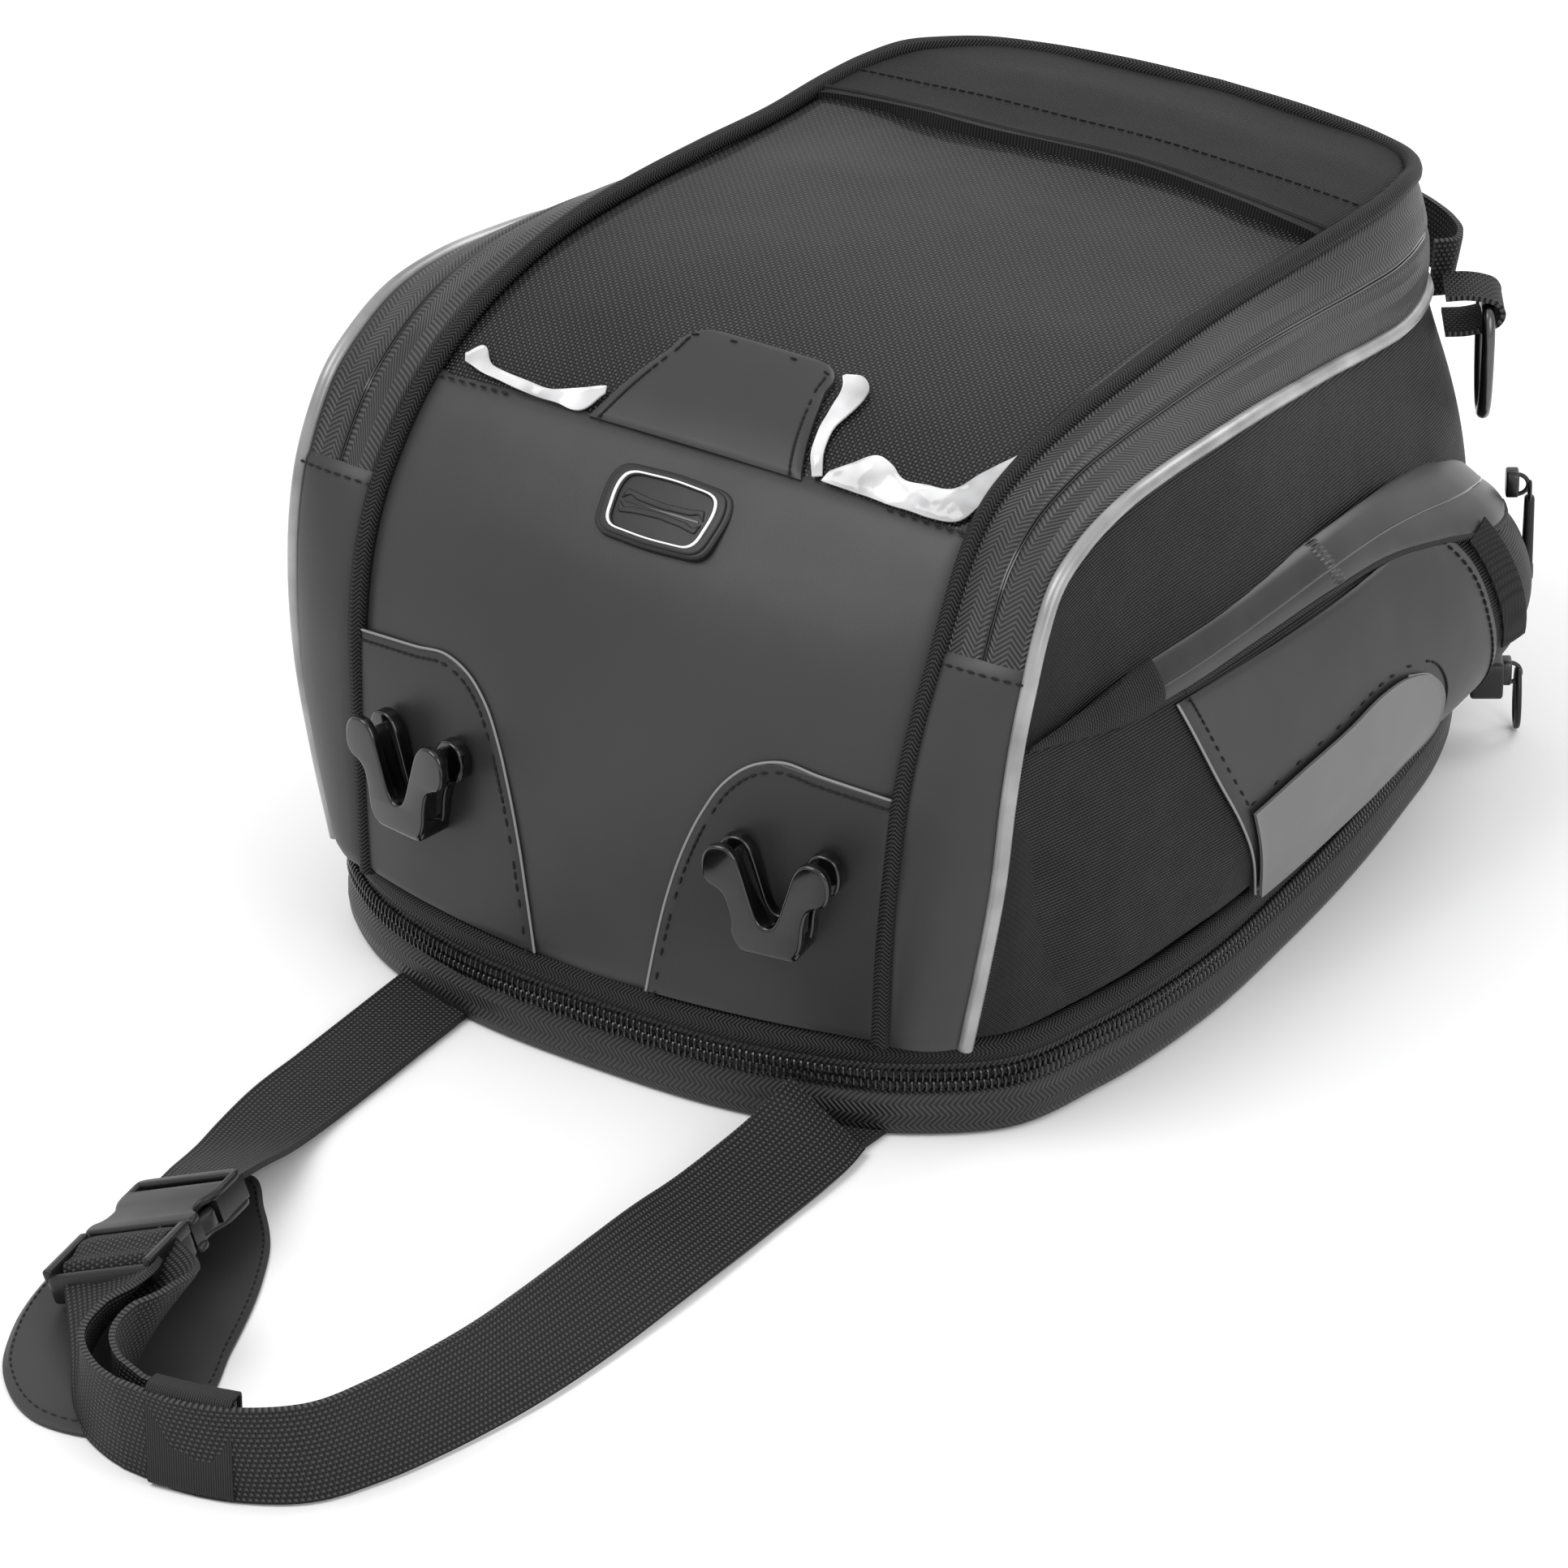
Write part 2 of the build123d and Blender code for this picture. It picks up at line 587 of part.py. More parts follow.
for side, name in ((1, "right"), (-1, "left")):
    write(pocket_form(side, 0), f"side_pocket_{name}")
    write(pocket_layer(side, 0, ZIP_T, POCKET_ZIP), f"pocket_zip_{name}")
    write(pocket_layer(side, 0, PANEL_T, POCKET_PANEL), f"pocket_panel_{name}")
    write(pocket_layer(side, PANEL_T, PANEL_T + PATCH_T, POCKET_PATCH), f"pocket_patch_{name}")

    spot = (side * SLIDER_SPOT[0], SLIDER_SPOT[1], SLIDER_SPOT[2])
    outward = (side * RING_OUT[0], RING_OUT[1], 0)
    with BuildPart() as slider:
        with BuildSketch(facing(spot, outward)):
            RectangleRounded(SLIDER[0], SLIDER[1], 1.5)
        extrude(amount=SLIDER[2])
        with BuildSketch(facing(spot, outward).offset(SLIDER[2])):
            with Locations((0, -2)):
                Rectangle(3.0, 4.0)
        extrude(amount=2.2)
    write(slider.part, f"pocket_slider_{name}")

    with BuildPart() as pull:
        with BuildSketch(facing(spot, outward).offset(SLIDER[2] + 2.6)):
            with Locations((0, -PULL_L / 2)):
                SlotOverall(PULL_L, PULL_W, rotation=90)
        extrude(amount=PULL_T)
    write(pull.part, f"pocket_pull_{name}")

# ---- main zip sliders at the back ---------------------------------------------------------
for side, name in ((1, "right"), (-1, "left")):
    with BuildPart() as main_slider:
        with BuildSketch(facing((side * MAIN_SLIDER_SPOT[0], *MAIN_SLIDER_SPOT[1:]), (0, 1, 0))):
            RectangleRounded(MAIN_SLIDER[0], MAIN_SLIDER[1], 1.5)
        extrude(amount=MAIN_SLIDER[2])
        add(OUTER, mode=Mode.SUBTRACT)
    write(main_slider.part, f"main_slider_{name}")

    with BuildPart() as main_pull:
        with BuildSketch(facing((side * MAIN_PULL_SPOT[0], *MAIN_PULL_SPOT[1:]), (0, 1, 0))):
            with Locations((0, -MAIN_PULL_L / 2)):
                SlotOverall(MAIN_PULL_L, PULL_W, rotation=90)
        extrude(amount=RING_PULL_T)
    write(main_pull.part, f"main_pull_{name}")

# ---- rings and carry handle -----------------------------------------------------------------
for side, name in ((1, "right"), (-1, "left")):
    top = (side * RING_TOP[0], RING_TOP[1], RING_TOP[2])
    outward = (side * RING_OUT[0], RING_OUT[1], 0)
    ring_plane = facing(top, outward)
    with BuildPart() as ring_tab:
        with BuildSketch(ring_plane.offset(-22)):
            with Locations((0, 1)):
                Rectangle(18, 12)
        extrude(amount=22 + 4.2)
        add(OUTER, mode=Mode.SUBTRACT)
        add(reflective_piping.part, mode=Mode.SUBTRACT)
        with BuildSketch(Plane(top, x_dir=(0, 0, 1), z_dir=ring_plane.x_dir).offset(-30)):
            Circle(RING_WIRE_R + PIN_CLEARANCE)
        extrude(amount=60, mode=Mode.SUBTRACT)
    write(ring_tab.part, f"ring_tab_{name}")

    with BuildPart() as d_ring:
        with BuildLine(ring_plane) as ring_path:
            half, bend = RING_W / 2, -RING_H * 0.62
            FilletPolyline((half, 0), (half, bend), (0, -RING_H), (-half, bend), (-half, 0), radius=4,
                           close=True)
        with BuildSketch(Plane(ring_path.wire() @ 0, z_dir=ring_path.wire() % 0)):
            Circle(RING_WIRE_R)
        sweep()
    write(d_ring.part, f"d_ring_{name}")


def ribbon(stations, width, thickness):
    """Flat webbing through stations of x, y, edge height, heading and lean."""
    with BuildPart() as band:
        for x, y, edge_z, heading, lean in stations:
            turn, tip = radians(heading), radians(lean)
            across = Vector(sin(turn) * cos(tip), -cos(turn) * cos(tip), sin(tip))
            ahead = Vector(cos(turn), sin(turn), 0)
            rise = abs(cos(tip)) * thickness / 2
            centre = Vector(x, y, edge_z + rise) + across * (width / 2)
            with BuildSketch(Plane(centre, x_dir=across, z_dir=ahead)):
                Rectangle(width, thickness)
        loft(ruled=True)
    return band.part


handle = [(x, y, HANDLE_Z, heading, 90) for x, y, heading in HANDLE_HALF]
handle += [(0, HANDLE_BACK_Y, HANDLE_Z, 180, 90)]
handle += [(-x, y, HANDLE_Z, 360 - heading, 90) for x, y, heading in reversed(HANDLE_HALF)]
write(ribbon(handle, HANDLE_W, WEB_T), "carry_handle")

# ---- slider and ring pull of the base zip -----------------------------------------------------
tail_plane = facing(TAIL_SPOT, RING_OUT)
with BuildPart() as base_zip_slider:
    with BuildSketch(tail_plane.offset(-12)):
        Rectangle(12, 9)
    extrude(amount=12 + 3)
    with BuildSketch(tail_plane.offset(3)):
        RectangleRounded(7, 9, 1.5)
    extrude(amount=3)
    add(base_ring(0, BASE_BAND_T, 0, BODY_BASE), mode=Mode.SUBTRACT)
write(base_zip_slider.part.solids().sort_by(SortBy.VOLUME)[-1], "base_zip_slider")

with BuildPart() as base_zip_ring:
    with BuildSketch(tail_plane.offset(6.4)):
        with Locations((0, -RING_PULL_L / 2)):
            SlotOverall(RING_PULL_L, RING_PULL_W, rotation=90)
            SlotOverall(RING_PULL_L - 5, RING_PULL_W - 5, rotation=90, mode=Mode.SUBTRACT)
    extrude(amount=RING_PULL_T)
write(base_zip_ring.part, "base_zip_ring")

# ---- front strap ------------------------------------------------------------------------------
strap_routes = {"strap_right": STRAP_RIGHT, "strap_front": STRAP_FRONT, "strap_left": STRAP_LEFT}
for label, route in strap_routes.items():
    write(ribbon(route, WEB_W, WEB_T), label)

with BuildPart() as strap_keeper:
    add(ribbon(KEEPER_SPAN, WEB_W + 2 * KEEPER_T, WEB_T + 2 * KEEPER_T))
    add(ribbon(STRAP_FRONT, WEB_W + 0.1, WEB_T + 0.1), mode=Mode.SUBTRACT)
    keep_box((-WIDE, -WIDE * 2, 0.1), (WIDE, 0, HIGH))
write(strap_keeper.part.solids().sort_by(SortBy.VOLUME)[-1], "strap_keeper")

with BuildPart() as buckle_pad:
    with BuildSketch():
        with BuildLine():
            Spline(*PAD_OUTLINE, periodic=True)
        make_face()
    extrude(amount=PAD_T)
    add(ribbon(STRAP_LEFT, WEB_W + 1, WEB_T + 0.4), mode=Mode.SUBTRACT)
write(buckle_pad.part.solids().sort_by(SortBy.VOLUME)[-1], "buckle_pad")

buckle_plane = Plane(BUCKLE_CENTRE, x_dir=BUCKLE_ACROSS, z_dir=BUCKLE_UP)


def buckle_slab(width, y_range, thickness, radius=0.0, x=0.0):
    """A sketch rectangle across the buckle, extruded both ways from its middle plane."""
    low, high = y_range
    with BuildPart() as slab:
        with BuildSketch(buckle_plane):
            with Locations((x, (low + high) / 2)):
                if radius:
                    RectangleRounded(width, high - low, radius)
                else:
                    Rectangle(width, high - low)
        extrude(amount=thickness / 2, both=True)
    return slab.part


with BuildPart() as buckle_female:
    add(buckle_slab(BUCKLE_W, FEMALE_Y, BUCKLE_T, 4))
    add(buckle_slab(CAVITY_W, (FEMALE_Y[0] - 1, CAVITY_END), CAVITY_T), mode=Mode.SUBTRACT)
    add(buckle_slab(BUCKLE_W + 2, (2, 12), CAVITY_T), mode=Mode.SUBTRACT)
    add(buckle_slab(WEB_W + 1, (21.5, 25.5), BUCKLE_T + 2), mode=Mode.SUBTRACT)
write(buckle_female.part, "buckle_female")

with BuildPart() as buckle_male:
    add(buckle_slab(BUCKLE_W, MALE_Y, BUCKLE_T - 1, 3))
    for slot in ((-26, -22.5), (-15, -11)):
        add(buckle_slab(WEB_W + 1, slot, BUCKLE_T + 2), mode=Mode.SUBTRACT)
    for x in (-13.5, 0, 13.5):
        add(buckle_slab(5, (MALE_Y[1] - 2, PRONG_END), CAVITY_T - 1.2, x=x))
write(buckle_male.part, "buckle_male")
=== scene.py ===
"""Looks of the tank bag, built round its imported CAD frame. Lengths are in metres, in the row frame."""

import math

import bmesh
import bpy
import numpy as np
from mathutils import Matrix, Vector, noise


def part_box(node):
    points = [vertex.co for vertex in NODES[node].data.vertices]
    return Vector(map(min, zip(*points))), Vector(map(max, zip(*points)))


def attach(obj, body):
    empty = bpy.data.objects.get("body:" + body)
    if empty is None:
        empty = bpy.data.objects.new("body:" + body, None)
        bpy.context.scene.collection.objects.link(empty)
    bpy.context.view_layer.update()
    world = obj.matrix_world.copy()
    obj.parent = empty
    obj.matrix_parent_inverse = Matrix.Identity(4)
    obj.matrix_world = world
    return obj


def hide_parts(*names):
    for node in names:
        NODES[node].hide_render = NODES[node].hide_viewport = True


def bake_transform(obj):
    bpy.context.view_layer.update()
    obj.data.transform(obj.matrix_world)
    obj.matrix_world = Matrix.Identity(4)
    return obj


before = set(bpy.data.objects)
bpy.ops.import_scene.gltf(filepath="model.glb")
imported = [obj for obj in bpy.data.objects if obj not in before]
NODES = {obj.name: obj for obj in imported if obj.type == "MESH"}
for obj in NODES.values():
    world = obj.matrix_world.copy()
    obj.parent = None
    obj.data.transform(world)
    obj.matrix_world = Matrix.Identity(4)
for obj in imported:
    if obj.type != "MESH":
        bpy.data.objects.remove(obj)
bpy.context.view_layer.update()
MM = 0.001

# ---- camera ---------------------------------------------------------------------------
AZIMUTH, ELEVATION = math.radians(35.0), math.radians(27.6)
CAMERA_TARGET = Vector((0.0, -0.086, 0.053))
CAMERA_DISTANCE = 2.64
CAMERA_LENS = 203.1


def make_camera():
    data = bpy.data.cameras.new("camera")
    data.lens, data.sensor_width = CAMERA_LENS, 36.0
    camera = bpy.data.objects.new("camera", data)
    bpy.context.scene.collection.objects.link(camera)
    back = Vector((math.sin(AZIMUTH) * math.cos(ELEVATION), -math.cos(AZIMUTH) * math.cos(ELEVATION),
                   math.sin(ELEVATION)))
    camera.location = CAMERA_TARGET + back * CAMERA_DISTANCE
    camera.rotation_mode = "QUATERNION"
    camera.rotation_quaternion = (-back).to_track_quat("-Z", "Y")
    bpy.context.scene.camera = camera


make_camera()


# ---- curves and surfaces ----------------------------------------------------------------
def mm(rows):
    """A table of millimetres as metres."""
    return np.array(rows, float) * MM


def hermite(knots, values, t):
    """A smooth curve through values at knots, read at each t."""
    values, t = np.asarray(values, float), np.clip(np.asarray(t, float), knots[0], knots[-1])
    tail = (1,) * (values.ndim - 1)
    steps = np.diff(knots)
    slopes = np.diff(values, axis=0) / steps.reshape(-1, *tail)
    before, after = steps[:-1].reshape(-1, *tail), steps[1:].reshape(-1, *tail)
    inner = (slopes[:-1] * after + slopes[1:] * before) / (before + after)
    tangents = np.concatenate([slopes[:1], inner, slopes[-1:]])
    i = np.clip(np.searchsorted(knots, t, side="right") - 1, 0, len(knots) - 2)
    h = steps[i].reshape(-1, *tail)
    x = ((t - knots[i]) / steps[i]).reshape(-1, *tail)
    return ((2 * x**3 - 3 * x**2 + 1) * values[i] + (x**3 - 2 * x**2 + x) * h * tangents[i]
            + (3 * x**2 - 2 * x**3) * values[i + 1] + (x**3 - x**2) * h * tangents[i + 1])


def knots_of(points):
    """Distances along a chain of points, from 0 to 1."""
    gaps = np.linalg.norm(np.diff(points, axis=0), axis=-1)
    while gaps.ndim > 1:
        gaps = gaps.mean(axis=-1)
    total = np.concatenate([[0], np.cumsum(gaps)])
    return total / total[-1]


def lengths_of(points):
    """Distances along a chain of points, in metres."""
    return np.concatenate([[0], np.cumsum(np.linalg.norm(np.diff(points, axis=0), axis=1))])


def resample(points, count):
    """The same chain with evenly spaced points."""
    along = lengths_of(points)
    marks = np.linspace(0, along[-1], count)
    return np.stack([np.interp(marks, along, points[:, k]) for k in range(points.shape[1])], axis=1)


def smooth(points, count):
    """A smooth curve through given points, evenly spaced."""
    points = np.asarray(points, float)
    fine = hermite(knots_of(points), points, np.linspace(0, 1, 12 * len(points)))
    return resample(fine, count)


def loop(points, count):
    """A smooth closed curve through points; the last one isn't repeated."""
    points = np.asarray(points, float)
    wrapped = np.concatenate([points[-3:], points, points[:4]])
    knots = knots_of(wrapped)
    fine = hermite(knots, wrapped, np.linspace(knots[3], knots[3 + len(points)], 14 * len(points)))
    return resample(fine, count + 1)[:-1]


def unit(vectors):
    return vectors / np.maximum(np.linalg.norm(vectors, axis=-1, keepdims=True), 1e-12)


def grid_normals(points):
    return unit(np.cross(np.gradient(points, axis=0), np.gradient(points, axis=1)))


def wrapped(grid):
    """A grid with its first column again after the last one."""
    return np.concatenate([grid, grid[:, :1]], axis=1)


def shares(first, last):
    """Two even scales as the row and column values of a grid."""
    return np.meshgrid(np.linspace(*first), np.linspace(*last), indexing="ij")


def mirrored(points):
    return points * np.array([-1, 1, 1])


class Skin:
    """A smooth surface held as a fine grid of points with outward normals."""

    def __init__(self, points, outward=1):
        self.points = points
        self.normals = grid_normals(points) * outward

    @classmethod
    def through(cls, table, outward=1, fine=(360, 90)):
        rows = hermite(knots_of(table), table, np.linspace(0, 1, fine[0]))
        across = rows.transpose(1, 0, 2)
        points = hermite(knots_of(across), across, np.linspace(0, 1, fine[1])).transpose(1, 0, 2)
        return cls(points, outward)

    def _read(self, values, s, v):
        rows, columns = values.shape[:2]
        a = np.clip(np.asarray(s, float), 0, 1) * (rows - 1)
        b = np.clip(np.asarray(v, float), 0, 1) * (columns - 1)
        i, j = np.minimum(a.astype(int), rows - 2), np.minimum(b.astype(int), columns - 2)
        p, q = (a - i)[..., None], (b - j)[..., None]
        return ((1 - p) * (1 - q) * values[i, j] + p * (1 - q) * values[i + 1, j]
                + (1 - p) * q * values[i, j + 1] + p * q * values[i + 1, j + 1])

    def at(self, s, v, lift=0.0):
        normals = unit(self._read(self.normals, s, v))
        return self._read(self.points, s, v) + normals * np.asarray(lift, float)[..., None], normals

    def find(self, y, z):
        """s and v of the surface points with these y and z."""
        y, z = np.asarray(y, float), np.asarray(z, float)
        found_s, found_v = np.empty(y.shape), np.empty(y.shape)
        rows, columns = self.points.shape[:2]
        for k in np.ndindex(y.shape):
            i, j = rows // 2, columns // 2
            for _ in range(6):
                line = self.points[int(round(i)), :, 2]
                order = slice(None) if line[-1] > line[0] else slice(None, None, -1)
                j = np.interp(z[k], line[order], np.arange(columns)[order])
                i = np.interp(y[k], self.points[:, int(round(j)), 1], np.arange(rows))
            found_s[k], found_v[k] = i / (rows - 1), j / (columns - 1)
        return found_s, found_v


# ---- meshes ---------------------------------------------------------------------------
def link(name, vertices, faces, uvs=None, material=None, sharp=35, face_slots=None, more=()):
    """A mesh object from arrays, with one UV pair per vertex."""
    mesh = bpy.data.meshes.new(name)
    mesh.from_pydata([tuple(v) for v in vertices], [], [tuple(f) for f in faces])
    if uvs is not None:
        layer = mesh.uv_layers.new(name="UVMap")
        corners = np.zeros(len(mesh.loops), int)
        mesh.loops.foreach_get("vertex_index", corners)
        layer.data.foreach_set("uv", np.asarray(uvs, float)[corners].ravel())
    mesh.polygons.foreach_set("use_smooth", [True] * len(mesh.polygons))
    for m in (material, *more):
        if m is not None:
            mesh.materials.append(m)
    if face_slots is not None:
        mesh.polygons.foreach_set("material_index", face_slots)
    mesh.validate()
    mesh.set_sharp_from_angle(angle=math.radians(sharp))
    piece = bpy.data.objects.new(name, mesh)
    bpy.context.scene.collection.objects.link(piece)
    return piece


def place(piece, body, replaces=()):
    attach(piece, body)
    if replaces:
        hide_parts(*replaces)
    return piece


def ripple(points, normals, size, depth, seed=0.0):
    """Shallow uneven waves in a surface."""
    flat, out = points.reshape(-1, 3), np.empty(points.reshape(-1, 3).shape)
    n = normals.reshape(-1, 3)
    for k, p in enumerate(flat):
        out[k] = p + n[k] * depth * noise.noise(Vector(p / size) + Vector((seed, 0, 0)))
    return out.reshape(points.shape)


CUTS = {}  # declared cloth pieces: their flat size and how they are held
SMALLEST_CUT = 0.012


def declare(piece, cut, held):
    if min(cut) >= SMALLEST_CUT:
        CUTS[piece.name] = (cut, held)


def sheet(name, points, thickness, material, outward=1, tuck=0.0, tuck_width=0.006, inner=None, edges="all",
          sink=0.0, held="stretched"):
    """A sewn layer: an outer and an inner grid joined at the rim, its edges rolled under by tuck."""
    normals = grid_normals(points) * outward
    rows, columns = points.shape[:2]
    along = np.concatenate([np.zeros((1, columns)),
                            np.cumsum(np.linalg.norm(np.diff(points, axis=0), axis=2), axis=0)])
    across = np.concatenate([np.zeros((rows, 1)),
                             np.cumsum(np.linalg.norm(np.diff(points, axis=1), axis=2), axis=1)], axis=1)
    if tuck:
        gaps = []
        if edges in ("all", "across"):
            gaps += [across, across[:, -1:] - across]
        if edges in ("all", "along"):
            gaps += [along, along[-1:] - along]
        near = np.clip(1 - np.minimum.reduce(gaps) / tuck_width, 0, 1)
        points = points - normals * (tuck * near**2)[..., None]
    points = points - normals * sink
    below = points - normals * thickness
    count = rows * columns
    vertices = np.concatenate([points.reshape(-1, 3), below.reshape(-1, 3)])
    uv = np.stack([along.ravel(), (across - across[:, -1:] / 2).ravel()], axis=1)
    index = np.arange(count).reshape(rows, columns)
    quads = np.stack([index[:-1, :-1], index[1:, :-1], index[1:, 1:], index[:-1, 1:]], axis=-1).reshape(-1, 4)
    rim = np.concatenate([index[:, 0], index[-1, 1:], index[::-1, -1][1:], index[0, ::-1][1:]])
    side = np.stack([rim[1:], rim[:-1], rim[:-1] + count, rim[1:] + count], axis=1)
    if outward < 0:
        quads, side = quads[:, ::-1], side[:, ::-1]
    faces = np.concatenate([quads, quads[:, ::-1] + count, side])
    slots = np.zeros(len(faces), int)
    if inner is not None:
        slots[len(quads):2 * len(quads)] = 1
    piece = link(name, vertices, faces.tolist(), np.concatenate([uv, uv]), material, face_slots=slots,
                 more=(inner,) if inner is not None else ())
    declare(piece, (float(across[:, -1].mean()), float(along[-1].mean())), held)
    return piece


def frames_along(path, closed=False, up=(0, 0, 1)):
    """Tangent, side and rise vectors that turn as little as they can along a path."""
    if closed:
        tangents = unit(np.roll(path, -1, axis=0) - np.roll(path, 1, axis=0))
    else:
        tangents = unit(np.gradient(path, axis=0))
    side = np.cross(tangents[0], np.array(up, float))
    if np.linalg.norm(side) < 1e-6:
        side = np.cross(tangents[0], np.array((1.0, 0.0, 0.0)))
    sides = [side / np.linalg.norm(side)]
    for t in tangents[1:]:
        s = sides[-1] - t * np.dot(sides[-1], t)
        sides.append(s / np.linalg.norm(s))
    sides = np.array(sides)
    return tangents, sides, np.cross(sides, tangents)


def tube(name, path, radius, material, sides=12, closed=False, flat=1.0):
    """A round cord along a path; flat squeezes it along its rise direction."""
    _, side, rise = frames_along(path, closed)
    angles = np.linspace(0, 2 * math.pi, sides + 1)
    radius = np.broadcast_to(np.asarray(radius, float), (len(path),))
    ring = (path[:, None] + radius[:, None, None] * (side[:, None] * np.cos(angles)[None, :, None]
            + rise[:, None] * flat * np.sin(angles)[None, :, None]))
    along = lengths_of(path)
    if closed:
        ring = np.concatenate([ring, ring[:1]])
        along = np.append(along, along[-1] + np.linalg.norm(path[-1] - path[0]))
    return strip_mesh(name, ring, along, angles * float(radius.mean()), material, caps=not closed)


def strip_mesh(name, ring, along, around, material, caps=True, sharp=35):
    """A swept mesh from rings of points; the first and last points of a ring are the same place."""
    rows, columns = ring.shape[:2]
    index = np.arange(rows * columns).reshape(rows, columns)
    quads = np.stack([index[:-1, :-1], index[:-1, 1:], index[1:, 1:], index[1:, :-1]], axis=-1).reshape(-1, 4)
    faces = quads.tolist()
    vertices = ring.reshape(-1, 3)
    uv = np.stack([np.repeat(along, columns), np.tile(around, rows)], axis=1)
    if caps:
        faces.append(index[0, :-1][::-1].tolist())
        faces.append(index[-1, :-1].tolist())
    piece = link(name, vertices, faces, uv, material, sharp=sharp)
    weld(piece)
    return piece


def weld(piece, distance=1e-6):
    """Joins points that lie in one place, so that the mesh is closed, and points its faces outwards."""
    work = bmesh.new()
    work.from_mesh(piece.data)
    bmesh.ops.remove_doubles(work, verts=work.verts, dist=distance)
    bmesh.ops.recalc_face_normals(work, faces=work.faces)
    work.to_mesh(piece.data)
    work.free()
    piece.data.update()


def profile_sweep(name, path, profile, material, closed=True, sharp=35):
    """A closed profile of (outward, up) points swept along a level path that runs anticlockwise."""
    if closed:
        tangents = unit(np.roll(path, -1, axis=0) - np.roll(path, 1, axis=0))
    else:
        tangents = unit(np.gradient(path, axis=0))
    out = unit(np.cross(tangents, np.array((0.0, 0.0, 1.0))))
    profile = np.array([*profile, profile[0]], float)
    ring = path[:, None] + out[:, None] * profile[None, :, :1] + np.array((0, 0, 1.0)) * profile[None, :, 1:]
    along = lengths_of(path)
    if closed:
        ring = np.concatenate([ring, ring[:1]])
        along = np.append(along, along[-1] + np.linalg.norm(path[-1] - path[0]))
    return strip_mesh(name, ring, along, lengths_of(profile), material, caps=not closed, sharp=sharp)


def rounded(width, height, radius, corner=4, centre=(0.0, 0.0)):
    """Points round a rectangle with rounded corners."""
    points = []
    for k, (sx, sy) in enumerate(((1, 1), (-1, 1), (-1, -1), (1, -1))):
        cx, cy = centre[0] + sx * (width / 2 - radius), centre[1] + sy * (height / 2 - radius)
        for a in np.linspace(k * math.pi / 2, (k + 1) * math.pi / 2, corner + 1):
            points.append((cx + radius * math.cos(a), cy + radius * math.sin(a)))
    return points


def joined(name, parts):
    """Several meshes as one object."""
    bpy.ops.object.select_all(action="DESELECT")
    for p in parts:
        p.select_set(True)
    bpy.context.view_layer.objects.active = parts[0]
    if len(parts) > 1:
        bpy.ops.object.join()
    parts[0].name = name
    parts[0].data.name = name
    return parts[0]


def flipped(piece, name):
    """The same piece on the bag's other side."""
    copy = piece.copy()
    copy.data = piece.data.copy()
    copy.name = copy.data.name = name
    bpy.context.scene.collection.objects.link(copy)
    copy.parent = None
    co = np.empty(len(copy.data.vertices) * 3)
    copy.data.vertices.foreach_get("co", co)
    copy.data.vertices.foreach_set("co", (co.reshape(-1, 3) * (-1, 1, 1)).ravel())
    copy.data.flip_normals()
    if piece.name in CUTS:
        declare(copy, *CUTS[piece.name])
    return copy


def both(piece, name, body, slot, hidden=None):
    """Places a right-hand piece and its left-hand twin; * in the body's name stands for the side."""
    other = flipped(piece, f"{name}_left")
    for part, side in ((piece, "right"), (other, "left")):
        place(part, body.replace("*", side), [f"{hidden}_{side}"] if hidden else [])


def bead(length, radius, sides=6, rings=4):
    """A small rounded bar along X as vertices and faces."""
    vertices, faces = [], []
    for x in np.linspace(-1, 1, rings):
        r = radius * math.sqrt(max(0.12, 1 - abs(x) ** 3))
        vertices += [(x * length / 2, r * math.cos(a), r * math.sin(a))
                     for a in np.linspace(0, 2 * math.pi, sides, endpoint=False)]
    for i in range(rings - 1):
        for j in range(sides):
            k = (j + 1) % sides
            faces.append((i * sides + j, i * sides + k, (i + 1) * sides + k, (i + 1) * sides + j))
    faces.append(tuple(range(sides))[::-1])
    faces.append(tuple(range((rings - 1) * sides, rings * sides)))
    return np.array(vertices), faces


def scatter(name, shape, centres, xs, ys, zs, material):
    """Copies of one small shape, each at its own centre and axes, as one mesh."""
    vertices, faces = shape
    turned = (centres[:, None] + xs[:, None] * vertices[None, :, :1] + ys[:, None] * vertices[None, :, 1:2]
              + zs[:, None] * vertices[None, :, 2:])
    all_faces = []
    for k in range(len(centres)):
        base = k * len(vertices)
        all_faces += [tuple(base + v for v in f) for f in faces]
    flat = turned.reshape(-1, 3)
    return link(name, flat, all_faces, np.tile(vertices[:, :2], (len(centres), 1)), material, sharp=60)


STITCH_PITCH, STITCH_LENGTH, STITCH_R = 0.0033, 0.0025, 0.00042


def stitches(name, path, normals, material):
    """A row of thread stitches lying on a surface."""
    total = lengths_of(path)[-1]
    count = max(2, int(total / STITCH_PITCH))
    both = resample(np.concatenate([path, normals], axis=1), count)
    centres, up = both[:, :3], unit(both[:, 3:])
    along = unit(np.gradient(centres, axis=0))
    side = unit(np.cross(up, along))
    return scatter(name, bead(STITCH_LENGTH, STITCH_R), centres, along, side, unit(np.cross(along, side)),
                   material)


def soften(points, radius, steps=4):
    """A closed outline with its corners rounded off."""
    out = []
    count = len(points)
    for k in range(count):
        a, p, b = (np.array(points[(k + d) % count], float) for d in (-1, 0, 1))
        reach_a, reach_b = np.linalg.norm(a - p), np.linalg.norm(b - p)
        start = p + (a - p) / reach_a * min(radius, reach_a * 0.48)
        end = p + (b - p) / reach_b * min(radius, reach_b * 0.48)
        for t in np.linspace(0, 1, steps + 1):
            out.append(tuple((1 - t) ** 2 * start + 2 * t * (1 - t) * p + t**2 * end))
    return out


def both_sides(half):
    """An outline from its right half, listed from the bottom up."""
    return list(half) + [(-x, y) for x, y in reversed(half)]


